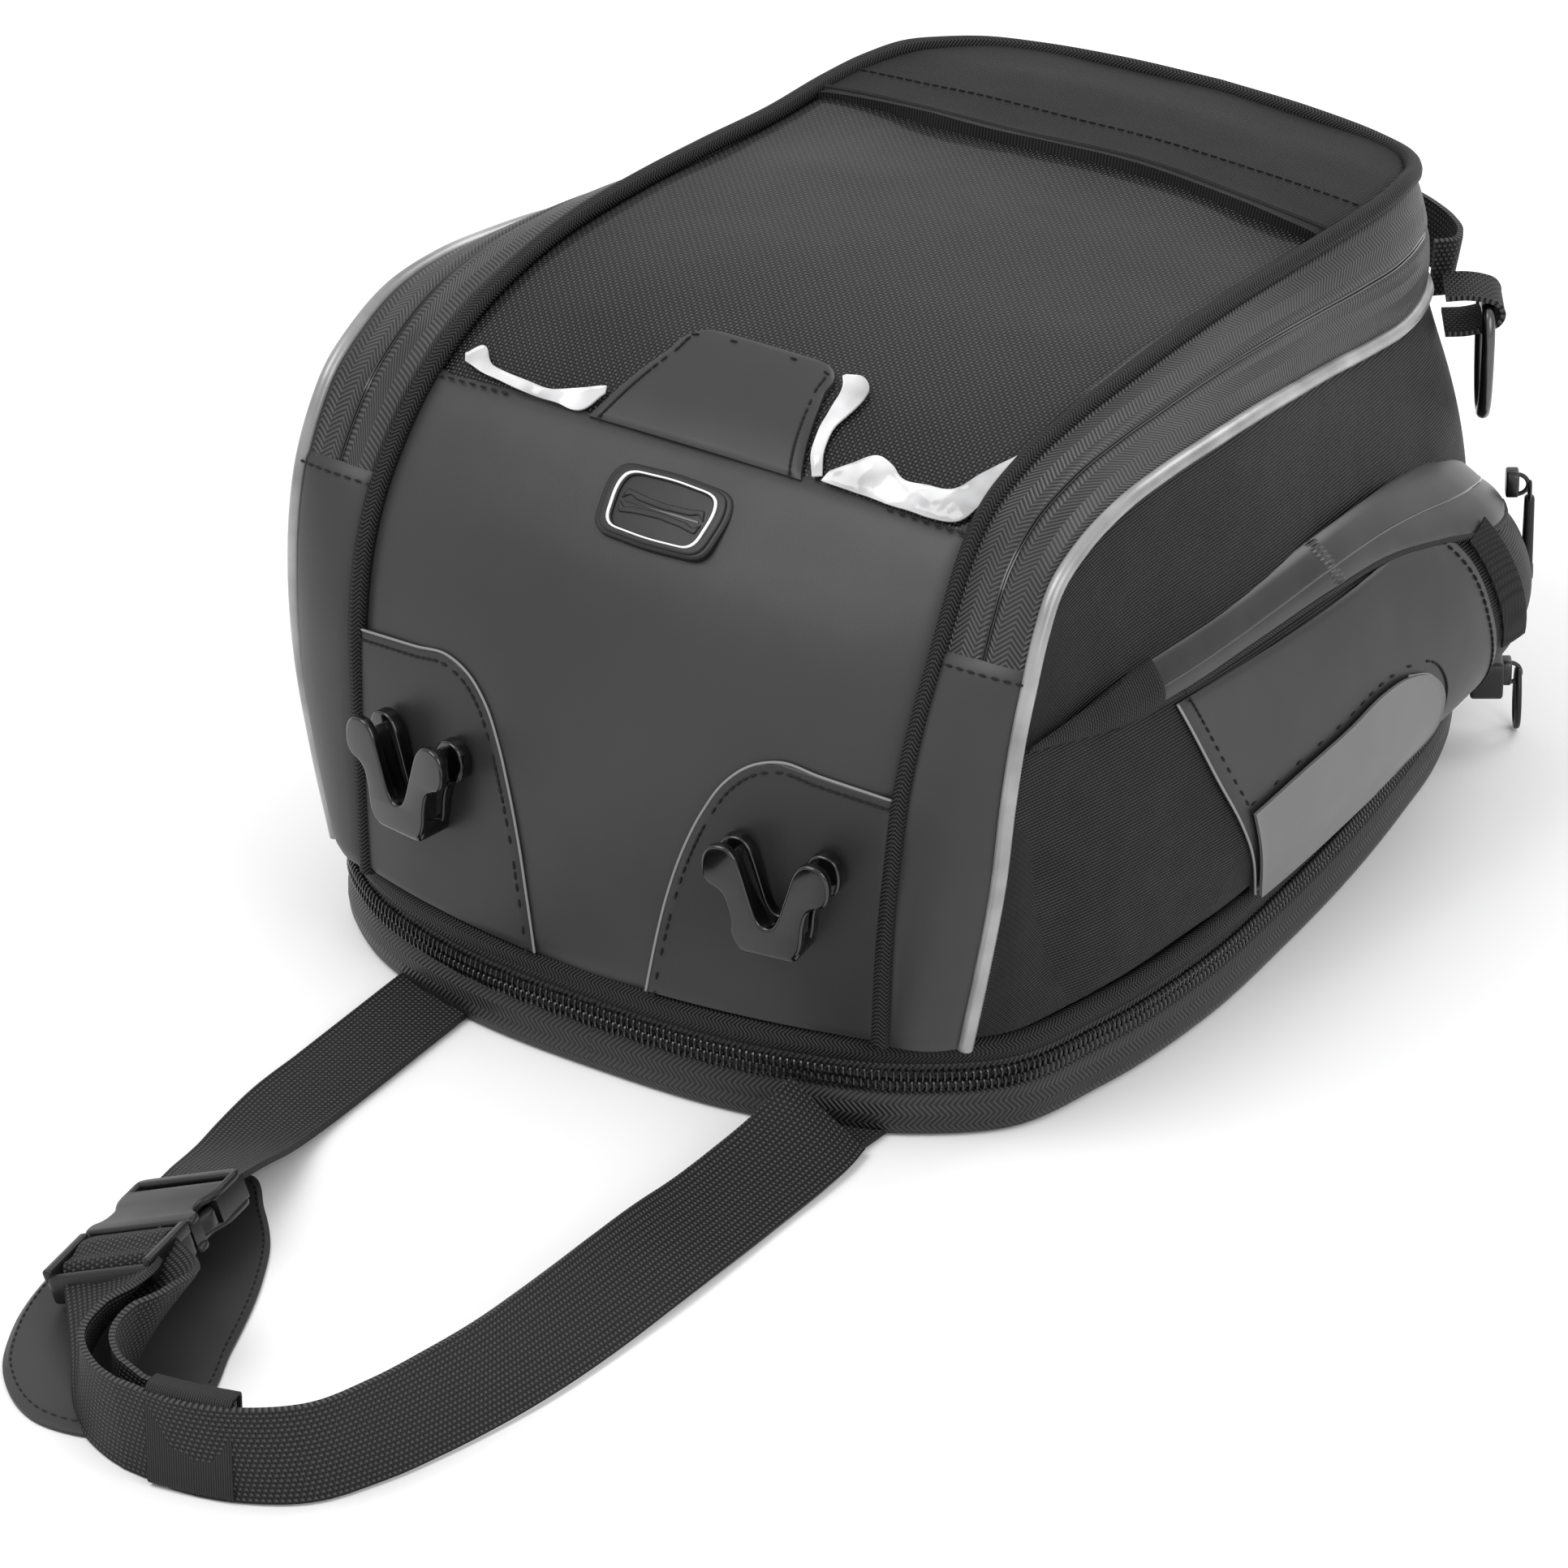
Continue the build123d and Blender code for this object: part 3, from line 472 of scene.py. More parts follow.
def basis(origin, x_dir, z_dir):
    """Local axes for a flat part: x across, z outward."""
    z = Vector(z_dir).normalized()
    x = (Vector(x_dir) - z * Vector(x_dir).dot(z)).normalized()
    y = z.cross(x)
    return Matrix.Translation(origin) @ Matrix((x, y, z)).transposed().to_4x4()


def facing(origin, outward):
    """Local axes on an upright face: y up, z outward."""
    return basis(origin, Vector((0, 0, 1)).cross(Vector(outward)), outward)


def slab(name, outlines, low, high, axes, material, bevel=0.0004, steps=2):
    """A flat moulded part: closed outlines, the inner ones holes, thickened and with rounded edges."""
    curve = bpy.data.curves.new(name, "CURVE")
    curve.dimensions, curve.fill_mode = "2D", "BOTH"
    curve.bevel_depth, curve.bevel_resolution, curve.offset = bevel, steps, -bevel
    curve.extrude = (high - low) / 2 - bevel
    for outline in outlines:
        spline = curve.splines.new("POLY")
        spline.points.add(len(outline) - 1)
        for point, (x, y) in zip(spline.points, outline):
            point.co = (x, y, 0, 1)
        spline.use_cyclic_u = True
    holder = bpy.data.objects.new(name, curve)
    mesh = bpy.data.meshes.new_from_object(holder)
    bpy.data.objects.remove(holder)
    bpy.data.curves.remove(curve)
    mesh.name = name
    mesh.transform(Matrix(axes) @ Matrix.Translation((0, 0, (low + high) / 2)))
    mesh.materials.clear()
    mesh.materials.append(material)
    piece = bpy.data.objects.new(name, mesh)
    bpy.context.scene.collection.objects.link(piece)
    weld(piece, 1e-7)
    mesh.polygons.foreach_set("use_smooth", [True] * len(mesh.polygons))
    mesh.set_sharp_from_angle(angle=math.radians(38))
    return piece


def scaled(points, factor=MM):
    return [(x * factor, y * factor) for x, y in points]


# ---- materials --------------------------------------------------------------------------
class Shader:
    """A Principled material with a few shortcuts for procedural patterns in UV metres."""

    def __init__(self, name, roughness, metallic=0.0, **sockets):
        self.material = bpy.data.materials.new(name)
        self.material.use_nodes = True
        self.tree = self.material.node_tree
        self.body = self.tree.nodes["Principled BSDF"]
        self.body.inputs["Roughness"].default_value = roughness
        self.body.inputs["Metallic"].default_value = metallic
        for key, value in sockets.items():
            self.body.inputs[key.replace("_", " ")].default_value = value
        self.uv = self.node("ShaderNodeUVMap").outputs["UV"]
        self.place = self.node("ShaderNodeTexCoord").outputs["Object"]

    def node(self, kind, **settings):
        made = self.tree.nodes.new(kind)
        for key, value in settings.items():
            setattr(made, key, value)
        return made

    def put(self, socket, value):
        if isinstance(value, bpy.types.NodeSocket):
            self.tree.links.new(value, socket)
        else:
            socket.default_value = value

    def math(self, operation, *values):
        made = self.node("ShaderNodeMath", operation=operation)
        for socket, value in zip(made.inputs, values):
            self.put(socket, value)
        return made.outputs[0]

    def axes(self, vector=None):
        split = self.node("ShaderNodeSeparateXYZ")
        self.put(split.inputs[0], vector or self.uv)
        return split.outputs

    def noise(self, scale, detail=2.0, vector=None, stretch=None):
        vector = vector or self.place
        if stretch:
            mapped = self.node("ShaderNodeMapping")
            self.put(mapped.inputs["Vector"], vector)
            mapped.inputs["Scale"].default_value = stretch
            vector = mapped.outputs[0]
        made = self.node("ShaderNodeTexNoise")
        self.put(made.inputs["Vector"], vector)
        made.inputs["Scale"].default_value = scale
        made.inputs["Detail"].default_value = detail
        return made.outputs["Fac"]

    def cells(self, scale, vector=None):
        made = self.node("ShaderNodeTexVoronoi", feature="DISTANCE_TO_EDGE")
        self.put(made.inputs["Vector"], vector or self.place)
        made.inputs["Scale"].default_value = scale
        return made.outputs["Distance"]

    def wave(self, value, pitch, shift=0.0):
        """0 to 1 and back along value, once every pitch."""
        turned = self.math("MULTIPLY_ADD", value, 2 * math.pi / pitch, shift)
        return self.math("MULTIPLY_ADD", self.math("SINE", turned), 0.5, 0.5)

    def tone(self, factor, dark, light, low=0.0, high=1.0):
        """Sets the base colour, from dark to light as factor goes from low to high."""
        ramp = self.node("ShaderNodeValToRGB")
        ramp.color_ramp.elements[0].position, ramp.color_ramp.elements[1].position = low, high
        ramp.color_ramp.elements[0].color = (*dark, 1)
        ramp.color_ramp.elements[1].color = (*light, 1)
        self.put(ramp.inputs[0], factor)
        self.put(self.body.inputs["Base Color"], ramp.outputs["Color"])
        return self

    def bump(self, height, distance, strength=1.0, after=None):
        made = self.node("ShaderNodeBump")
        made.inputs["Strength"].default_value = strength
        made.inputs["Distance"].default_value = distance
        self.put(made.inputs["Height"], height)
        if after is not None:
            self.put(made.inputs["Normal"], after)
        self.put(self.body.inputs["Normal"], made.outputs["Normal"])
        return made.outputs["Normal"]

    def rough(self, factor, low, high):
        spread = self.math("MULTIPLY_ADD", factor, high - low, low)
        self.put(self.body.inputs["Roughness"], spread)


def grey(level):
    """A linear grey from an sRGB level of 0 to 255, a little blue like the bag's cloth."""
    c = level / 255
    value = c / 12.92 if c <= 0.04045 else ((c + 0.055) / 1.055) ** 2.4
    return value, value, value * 1.015


def weave(shader, u, v, pitch_u, pitch_v):
    """Plain weave: warp threads and weft threads that take turns on top."""
    over = shader.math("MULTIPLY", shader.math("SINE", shader.math("MULTIPLY", u, math.pi / pitch_u)),
                       shader.math("SINE", shader.math("MULTIPLY", v, math.pi / pitch_v)))
    round_u = shader.math("ABSOLUTE", shader.math("SINE", shader.math("MULTIPLY", u, math.pi / pitch_u)))
    round_v = shader.math("ABSOLUTE", shader.math("SINE", shader.math("MULTIPLY", v, math.pi / pitch_v)))
    return shader.math("MULTIPLY_ADD", over, 0.35, shader.math("MULTIPLY", round_u, round_v))


def chevrons(shader, u, v, pitch, width):
    """Herringbone ribs: slanted lines that change side every width."""
    zigzag = shader.math("PINGPONG", v, width)
    return shader.wave(shader.math("ADD", u, shader.math("MULTIPLY", zigzag, 0.9)), pitch)


def ribbed_nylon():
    """Heavy nylon with ribs along the piece, each rib broken into short threads."""
    s = Shader("ribbed_nylon", 0.5, Specular_IOR_Level=0.12)
    u, v, _ = s.axes()
    rows = s.math("MULTIPLY", s.math("FLOOR", s.math("DIVIDE", v, 0.00105)), 0.0006)
    threads = s.wave(s.math("ADD", u, rows), 0.00125)
    ribs = s.wave(v, 0.00105)
    height = s.math("MULTIPLY", ribs, s.math("MULTIPLY_ADD", threads, 0.55, 0.45))
    worn = s.math("MULTIPLY_ADD", s.noise(90, 3), 0.3, s.math("MULTIPLY", height, 0.85))
    s.tone(worn, grey(2), grey(56), 0.2, 0.95)
    s.bump(height, 0.00045, 0.9, after=s.bump(s.noise(55, 2), 0.0012, 0.35))
    return s.material


def band_nylon():
    """Finer nylon whose ribs run from front to back."""
    s = Shader("band_nylon", 0.55, Specular_IOR_Level=0.1)
    u, v, _ = s.axes()
    ribs = s.wave(v, 0.0011)
    threads = s.wave(u, 0.0009)
    height = s.math("MULTIPLY", ribs, s.math("MULTIPLY_ADD", threads, 0.35, 0.65))
    s.tone(s.math("MULTIPLY_ADD", s.noise(70, 2), 0.25, s.math("MULTIPLY", height, 0.8)), grey(6), grey(44))
    s.bump(height, 0.00035, 0.8, after=s.bump(s.noise(40, 2), 0.0012, 0.4))
    return s.material


def leatherette(name="leatherette", level=46, roughness=0.4):
    """Smooth satin coated cover with a faint grain."""
    s = Shader(name, roughness, Specular_IOR_Level=0.36)
    grain = s.cells(1500)
    s.tone(s.noise(14, 3), grey(level - 5), grey(level + 4), 0.3, 0.75)
    s.rough(s.noise(35, 3), roughness - 0.04, roughness + 0.1)
    s.bump(grain, 0.00012, 0.18, after=s.bump(s.noise(28, 2), 0.0016, 0.3))
    return s.material


def window_weave():
    """Black basket weave seen through clear vinyl."""
    s = Shader("window_weave", 0.5, Specular_IOR_Level=0.12, Coat_Weight=0.22, Coat_Roughness=0.1)
    u, v, _ = s.axes()
    height = weave(s, u, v, 0.00125, 0.0012)
    broad = s.math("MULTIPLY_ADD", s.noise(16, 3), 0.8, 0.55)
    s.tone(s.math("MULTIPLY", height, broad), grey(2), grey(72), 0.2, 1.05)
    cloth = s.bump(height, 0.0004, 0.8)
    film = s.node("ShaderNodeBump")
    film.inputs["Strength"].default_value = 0.35
    film.inputs["Distance"].default_value = 0.004
    s.put(film.inputs["Height"], s.noise(22, 2))
    s.put(s.body.inputs["Coat Normal"], film.outputs["Normal"])
    s.put(s.body.inputs["Normal"], cloth)
    return s.material


def painted_glare_film():
    """Light grey for the glare pieces on the window: a painted reflection of the lamps on the clear vinyl."""
    s = Shader("painted_glare_film", 0.12, Specular_IOR_Level=0.7)
    s.tone(s.noise(60, 2), grey(150), grey(214), 0.3, 0.7)
    s.bump(s.noise(90, 2), 0.0015, 0.5)
    return s.material


def piping_weave():
    """Woven binding over a cord, its threads in a fine herringbone."""
    s = Shader("piping_weave", 0.5, Specular_IOR_Level=0.12)
    u, v, _ = s.axes()
    height = chevrons(s, u, v, 0.0013, 0.0022)
    s.tone(height, grey(4), grey(54), 0.1, 1.0)
    s.bump(height, 0.00035, 0.8)
    return s.material


def reflective_tube():
    """Silver grey reflective piping with a fine bead structure."""
    s = Shader("reflective_tube", 0.3, metallic=0.3, Specular_IOR_Level=0.5, Coat_Weight=0.2,
               Coat_Roughness=0.2)
    s.tone(s.noise(45, 3), grey(118), grey(160), 0.3, 0.7)
    s.bump(s.cells(2600), 0.00008, 0.25)
    return s.material


def zip_tape(name="zip_tape", pitch=0.0017, width=0.0042, level=58):
    """Coated zip tape with herringbone ribs."""
    s = Shader(name, 0.42, Specular_IOR_Level=0.36)
    u, v, _ = s.axes()
    height = chevrons(s, u, v, pitch, width)
    s.tone(height, grey(level - 44), grey(level + 8), 0.05, 1.0)
    s.bump(height, 0.00045, 0.7, after=s.bump(s.noise(45, 2), 0.001, 0.3))
    return s.material


def coated_zip():
    """Smooth film over a reversed coil, whose turns show as fine cross ridges near the middle."""
    s = Shader("coated_zip", 0.36, Specular_IOR_Level=0.4)
    u, v, _ = s.axes()
    near = s.math("SUBTRACT", 1.0, s.math("MINIMUM", s.math("MULTIPLY", s.math("ABSOLUTE", v), 280.0), 1.0))
    turns = s.math("MULTIPLY", s.wave(u, 0.0016), near)
    s.tone(s.noise(50, 2), grey(22), grey(38), 0.3, 0.7)
    s.bump(turns, 0.0006, 0.9)
    return s.material


def webbing():
    """Coarse webbing: rows of small bumps across its width."""
    s = Shader("webbing", 0.6, Specular_IOR_Level=0.16)
    u, v, _ = s.axes()
    rows = s.math("MULTIPLY", s.math("FLOOR", s.math("DIVIDE", v, 0.0016)), 0.00085)
    bumps = s.math("MULTIPLY", s.wave(s.math("ADD", u, rows), 0.0017), s.wave(v, 0.0016))
    height = s.math("MULTIPLY_ADD", s.wave(u, 0.00085), 0.15, bumps)
    s.tone(height, grey(10), grey(78), 0.0, 1.0)
    s.bump(height, 0.0006, 0.9)
    return s.material


def keeper_weave():
    """Finer elastic webbing with narrow upright ribs."""
    s = Shader("keeper_weave", 0.6, Specular_IOR_Level=0.2)
    u, v, _ = s.axes()
    height = s.math("MULTIPLY", s.wave(u, 0.0007), s.math("MULTIPLY_ADD", s.wave(v, 0.0006), 0.4, 0.6))
    s.tone(height, grey(12), grey(58))
    s.bump(height, 0.0003, 0.8)
    return s.material


def plastic(name, level, roughness, grain=0.0, coat=0.0):
    s = Shader(name, roughness, Specular_IOR_Level=0.4, Coat_Weight=coat, Coat_Roughness=0.06)
    s.tone(s.noise(30, 2), grey(level - 4), grey(level + 4), 0.3, 0.7)
    s.rough(s.noise(120, 3), max(0.04, roughness - 0.05), roughness + 0.06)
    if grain:
        s.bump(s.cells(1800), grain, 0.3)
    else:
        s.bump(s.noise(300, 2), 0.00004, 0.2)
    return s.material


def metal(name, level, roughness):
    s = Shader(name, roughness, metallic=1.0)
    s.tone(s.noise(60, 3), grey(level - 10), grey(level + 10), 0.3, 0.7)
    s.bump(s.noise(500, 2, stretch=(1, 1, 6)), 0.00005, 0.2)
    return s.material


def thread(name, level):
    """Twisted sewing thread."""
    s = Shader(name, 0.6, Specular_IOR_Level=0.25)
    s.tone(s.wave(s.axes(s.place)[1], 0.0006), grey(level - 8), grey(level + 10))
    s.bump(s.noise(1500, 2), 0.0001, 0.4)
    return s.material


def lining_cloth():
    s = Shader("lining_cloth", 0.75, Sheen_Weight=0.2)
    u, v, _ = s.axes()
    height = weave(s, u, v, 0.0007, 0.0007)
    s.tone(s.math("MULTIPLY_ADD", s.noise(30, 3), 0.4, s.math("MULTIPLY", height, 0.4)), grey(46), grey(84))
    s.bump(height, 0.0002, 0.6, after=s.bump(s.noise(35, 2), 0.003, 0.5))
    return s.material


def cad_cloth(name, level):
    """Cloth for flat frame pieces that have no UVs."""
    s = Shader(name, 0.75, Specular_IOR_Level=0.2)
    x, y, _ = s.axes(s.place)
    height = weave(s, x, y, 0.0009, 0.0009)
    s.tone(height, grey(level - 12), grey(level + 14))
    s.bump(height, 0.0002, 0.6)
    return s.material


NYLON = ribbed_nylon()
BAND = band_nylon()
LEATHER = leatherette()
PANEL_LEATHER = leatherette("panel_leatherette", 38, 0.38)
PAD_LEATHER = leatherette("pad_leatherette", 44, 0.45)
PATCH = leatherette("patch_film", 100, 0.36)
WINDOW = window_weave()
# Painted reflection: light grey material for the fixed glare pieces on the window.
GLARE_PAINT = painted_glare_film()
PIPING = piping_weave()
REFLECTIVE = reflective_tube()
TAPE = zip_tape()
BASE_TAPE = zip_tape("base_tape", 0.0018, 0.0034, 44)
COATED = coated_zip()
WEBBING = webbing()
KEEPER = keeper_weave()
COIL = plastic("coil_plastic", 18, 0.22, coat=0.4)
HOOK = plastic("hook_plastic", 9, 0.14, coat=0.5)
BUCKLE = plastic("buckle_plastic", 22, 0.36, grain=0.00006)
RUBBER = plastic("rubber", 16, 0.45, grain=0.00008)
WHITE_INK = plastic("white_ink", 225, 0.5)
RED_DOT = plastic("red_inlay", 60, 0.4)
SLIDER = metal("slider_enamel", 70, 0.32)
RING = metal("ring_nickel", 92, 0.24)
THREAD = thread("black_thread", 14)
EDGE = leatherette("cut_edge", 128, 0.6)
LABEL = cad_cloth("label_weave", 24)
LINING = lining_cloth()
LINING_FLAT = cad_cloth("floor_lining", 60)

# ---- the bag's shape ---------------------------------------------------------------------
# Each station: lid seam (x, y, z), shoulder seam (x, y, z), and how far the cover's middle
# stands out from the straight line between the two lid seams (forward, up). Millimetres.
STATIONS = mm([
    (92.3, -169.5, 32, 113.5, -157.5, 32, 15, 0),
    (93.5, -169.4, 60, 119.5, -158.2, 60, 14, 0),
    (95.4, -168.0, 90, 124.8, -158.2, 90, 12.5, 0),
    (97.2, -165.6, 115, 127.0, -157.2, 115, 9.5, 0),
    (98.6, -159.6, 135, 128.2, -154.2, 135, 7.5, 1),
    (99.0, -152.2, 150, 128.8, -149.8, 150, 6, 2),
    (98.3, -144.0, 163, 128.5, -144.0, 163, 3.5, 2.5),
    (97.2, -135.0, 174.5, 128.1, -136.0, 174.5, 2, 2.5),
    (96.0, -122.5, 185, 128.4, -123.0, 182.5, 1.5, 2.5),
    (96.4, -104.0, 193, 129.3, -105.0, 188.3, 0.8, 3),
    (97.3, -82.0, 198, 129.3, -82.0, 190, 0, 3.5),
    (98.0, -57.0, 201, 127.8, -57.0, 188.8, 0, 4),
    (97.0, -25.0, 202.3, 124.3, -25.0, 185.4, 0, 4.3),
    (95.6, 8.0, 202.4, 117.5, 8.0, 178.5, 0, 4.4),
    (94.6, 42.0, 201.4, 109.5, 42.0, 170.5, 0, 4.4),
    (95.0, 72.0, 201.5, 103.8, 72.0, 164, 0, 4.2),
    (94.0, 94.0, 201.2, 99.5, 98.0, 160, 0, 4),
    (91.0, 110.0, 200.6, 94.5, 116.0, 158.8, 0, 3.6),
    (86.0, 123.5, 198.4, 87.0, 132.0, 158, 0, 3),
    (77.5, 134.5, 196.8, 75.0, 143.0, 158, 0, 2.2),
    (62.0, 141.8, 196, 57.0, 148.5, 158, 0, 1.4),
    (33.0, 147.0, 196, 30.0, 151.4, 158, 0, 0.5),
    (0.0, 149.0, 196, 0.0, 152.0, 158, 0, 0),
])
ROWS_FINE = 420
GARAGE_Z = 0.1525  # height where the front strips end and the zip comes out
WINDOW_FRONT_Y, HEM_Y = -0.1285, 0.060
COVER_HALF = 0.0965  # half the cover's width around the window: x / COVER_HALF is u


def station_curves(count):
    knots = knots_of(STATIONS[:, :6])
    return hermite(knots, STATIONS, np.linspace(0, 1, count))


FINE = station_curves(ROWS_FINE)
LID_SEAM, SHOULDER_SEAM = FINE[:, :3], FINE[:, 3:6]


def row_where(test):
    """Share of the way along the seams where the test on a lid seam point first holds."""
    return next(k for k, p in enumerate(LID_SEAM) if test(p)) / (ROWS_FINE - 1)


T_GARAGE = row_where(lambda p: p[2] > GARAGE_Z)
T_WINDOW = row_where(lambda p: p[1] > WINDOW_FRONT_Y and p[2] > 0.15)
T_HEM = row_where(lambda p: p[1] > HEM_Y)


def cover_grid(t, u, lift=0.0):
    """Points of the front and top cover at t along and u across, both arrays of one shape."""
    rows = hermite(np.linspace(0, 1, ROWS_FINE), FINE, t.ravel()).reshape(*t.shape, 8)
    share = 1 - u**2
    narrow = np.clip(rows[..., 0] / 0.09, 0, 1)
    points = np.stack([rows[..., 0] * u, rows[..., 1] - rows[..., 6] * share,
                       rows[..., 2] + rows[..., 7] * share * narrow + lift], axis=-1)
    return points


def cover(t_low, t_high, rows, columns, u_low=-1.0, u_high=1.0):
    return cover_grid(*shares((t_low, t_high, rows), (u_low, u_high, columns)))


COVER_FINE = Skin(cover(0, 0.97, 500, 121), outward=-1)
U_EDGE = 0.985  # where the cover meets its piping


def cover_at(t, u, lift=0.0):
    return COVER_FINE.at(np.asarray(t) / 0.97, (np.asarray(u) + 1) / 2, lift)


BAND_BULGE = 0.0028


def band_grid(t, w, lift=0.0):
    """Points between the lid seam (w 0) and the shoulder seam (w 1) on the right side."""
    rows = hermite(np.linspace(0, 1, ROWS_FINE), FINE[:, :6], t.ravel()).reshape(*t.shape, 6)
    points = rows[..., :3] * (1 - w[..., None]) + rows[..., 3:] * w[..., None]
    normals = -grid_normals(points)
    return points + normals * (BAND_BULGE * 4 * w * (1 - w) + lift)[..., None]


def band(t_low, t_high, w_low, w_high, rows, columns, lift=0.0):
    return band_grid(*shares((t_low, t_high, rows), (w_low, w_high, columns)), lift)


# Side and rear wall: shoulder seam, middle and base line at stations round the bag's right side.
WALL_STATIONS = mm([
    [(128.8, -149.8, 150), (125.3, -158, 92), (113.5, -157.5, 32)],
    [(128.5, -141, 168.5), (128, -149, 98), (122, -147, 32)],
    [(128.4, -123, 182.5), (130, -128, 104), (128, -122, 32)],
    [(129.4, -89, 190), (131.5, -92, 108), (132, -88, 32)],
    [(127.4, -50, 188.3), (132, -55, 108), (132.5, -55, 32)],
    [(119, 0, 180), (128.5, -2, 104), (128, -3, 32)],
    [(109, 44, 170), (120.5, 46, 101), (121, 46, 32)],
    [(101.3, 85, 162), (113, 92, 97), (112, 92, 32)],
    [(94.8, 115, 158.8), (106, 122, 96), (104, 122, 32)],
    [(86, 133.4, 158), (95, 147, 95), (93, 148, 32)],
    [(70, 145, 158), (76, 163, 95), (76, 165, 32)],
    [(40, 150.4, 158), (42, 171, 95), (44, 180, 32)],
    [(0, 152, 158), (0, 174, 95), (0, 184.5, 32)],
])
WALL_SKIN = Skin.through(WALL_STATIONS, outward=-1)

# Side pocket: top seam, upper and lower line of the bulge, bottom line.
POCKET_STATIONS = mm([
    [(128.3, -153.5, 131), (126.6, -157.6, 113), (120.8, -159.6, 62), (115.2, -158.8, 35)],
    [(131.2, -122, 130.5), (132.6, -124, 113), (131.6, -124, 60), (129.6, -121, 35)],
    [(132.2, -60, 129), (136.5, -60, 112.5), (138, -60, 60), (134, -60, 35)],
    [(126.6, 20, 126), (136, 20, 109.5), (139.6, 20, 60), (128.5, 20, 35)],
    [(116.5, 75, 116.5), (131, 78, 102.5), (138, 82, 58), (120, 78, 35)],
    [(109, 106, 108.5), (124, 113, 96.5), (130.5, 119, 56), (111, 112, 35)],
    [(101.5, 131, 98), (111.5, 139, 88), (115.5, 148, 54), (100, 141, 35)],
    [(91, 148, 88), (98, 158.5, 79.5), (100.5, 165, 52), (88, 157, 35)],
    [(78, 160.5, 83), (82, 169, 76.5), (83, 172, 52), (76, 167, 35)],
])
POCKET_SKIN = Skin.through(POCKET_STATIONS, outward=-1, fine=(420, 140))

# Base outline at the bottom of the body, right side, front centre to rear centre.
BASE_HALF = [(0, -185), (58, -180), (100, -163), (120.5, -144), (129.5, -108), (132.5, -55), (128, -5),
             (120.5, 48),
             (112, 90), (103, 125), (89, 154), (64, 175.5), (32, 186.3), (0, 189)]


def base_path(inset=0.0, count=420, z=0.0):
    """The base's outline, anticlockwise seen from above, drawn in by inset."""
    right = [(x, y) for x, y in BASE_HALF]
    ring = right + [(-x, y) for x, y in reversed(right[1:-1])]
    path = loop(np.array([(x * MM, y * MM, z) for x, y in ring]), count)
    tangents = unit(np.roll(path, -1, axis=0) - np.roll(path, 1, axis=0))
    return path - np.cross(tangents, np.array((0, 0, 1.0))) * inset


# ---- body ----------------------------------------------------------------------------------
WALL_T, SKIN_T = 0.0042, 0.0014


def make_front():
    """The leatherette cover in one piece, from the base over the hinge line to the window."""
    points = cover(0.0, T_WINDOW, 120, 90, -U_EDGE, U_EDGE)
    normals = -grid_normals(points)
    points = ripple(points, normals, 0.06, 0.0008, 3.0)
    piece = sheet("front_cover", points, WALL_T, LEATHER, outward=-1, tuck=0.0016, tuck_width=0.007,
                  inner=LINING)
    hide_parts("front_panel", "lid_leather")
    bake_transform(piece)


def make_strips():
    """Leatherette strips beside the front cover, each with a turned top edge that hides the zip's end."""
    flat = band(0, T_GARAGE, 0.03, 0.97, 60, 24)
    points = ripple(band(0, T_GARAGE, 0.03, 0.97, 60, 24, 0.0012), -grid_normals(flat), 0.05, 0.0007, 8.0)
    piece = sheet("front_strip_cover_right", points, WALL_T, LEATHER, outward=-1, tuck=0.0012,
                  tuck_width=0.005,
                  inner=LINING)
    seam = band(T_GARAGE - 0.0075, T_GARAGE - 0.0075 + 1e-4, 0.06, 0.94, 2, 40, 0.0016)[0]
    thread_row = stitches("strip_stitches_right", seam, np.tile((0.35, -0.9, 0.25), (len(seam), 1)), THREAD)
    both(piece, "front_strip_cover", "bag", "leatherette", "front_strip")
    both(thread_row, "strip_stitches", "bag", "leatherette")


def make_walls():
    """Ribbed nylon side walls and rear wall."""
    right = WALL_SKIN.points[::3, ::3]
    rows = len(right)
    split = int(rows * 0.80)
    side_points = ripple(right[:split + 1], grid_normals(right[:split + 1]), 0.045, 0.0009, 1.0)
    piece = sheet("side_wall_cover_right", side_points, WALL_T, NYLON, outward=-1, tuck=0.0012,
                  tuck_width=0.004,
                  inner=LINING, edges="across")
    both(piece, "side_wall_cover", "bag", "nylon", "side_wall")
    rear = right[split:]
    whole = np.concatenate([rear, mirrored(rear[::-1])[1:]])
    whole = ripple(whole, grid_normals(whole), 0.05, 0.001, 5.0)
    back = sheet("rear_wall_cover", whole, WALL_T, NYLON, outward=-1, tuck=0.0012, tuck_width=0.004,
                 inner=LINING,
                 edges="across")
    place(back, "bag", ["rear_wall", "body_lining"])


make_front()
make_strips()
make_walls()


# ---- main zip and pipings ----------------------------------------------------------------------
W_ZIP = 0.5  # where the zip's chain runs across the band


def around(points):
    """A right-hand grid from the front to the rear centre, carried on round the left side."""
    return np.concatenate([points, mirrored(points[::-1])[1:]])


def make_main_zip():
    lower = around(band(T_GARAGE - 0.012, 1, W_ZIP + 0.012, 0.97, 260, 14))
    upper = around(band(T_GARAGE - 0.012, 1, 0.03, W_ZIP - 0.012, 260, 14))
    for name, points, body, hidden in (("main_zip_tape_lower", lower, "bag", ["main_zip_lower"]),
                                       ("main_zip_tape_upper", upper, "lid", ["main_zip_upper"])):
        tape = sheet(name, points, 0.0034, TAPE, outward=-1, tuck=0.0013, tuck_width=0.0022, inner=LINING,
                     edges="across")
        place(tape, body, hidden)
    for name, w, body in (("main_zip_edge_lower", W_ZIP + 0.014, "bag"),
                          ("main_zip_edge_upper", W_ZIP - 0.014, "lid")):
        line = around(band(T_GARAGE - 0.01, 1, w, w + 1e-4, 400, 2, -0.0012))[:, 0]
        place(tube(name, line, 0.0005, COIL, sides=6), body)


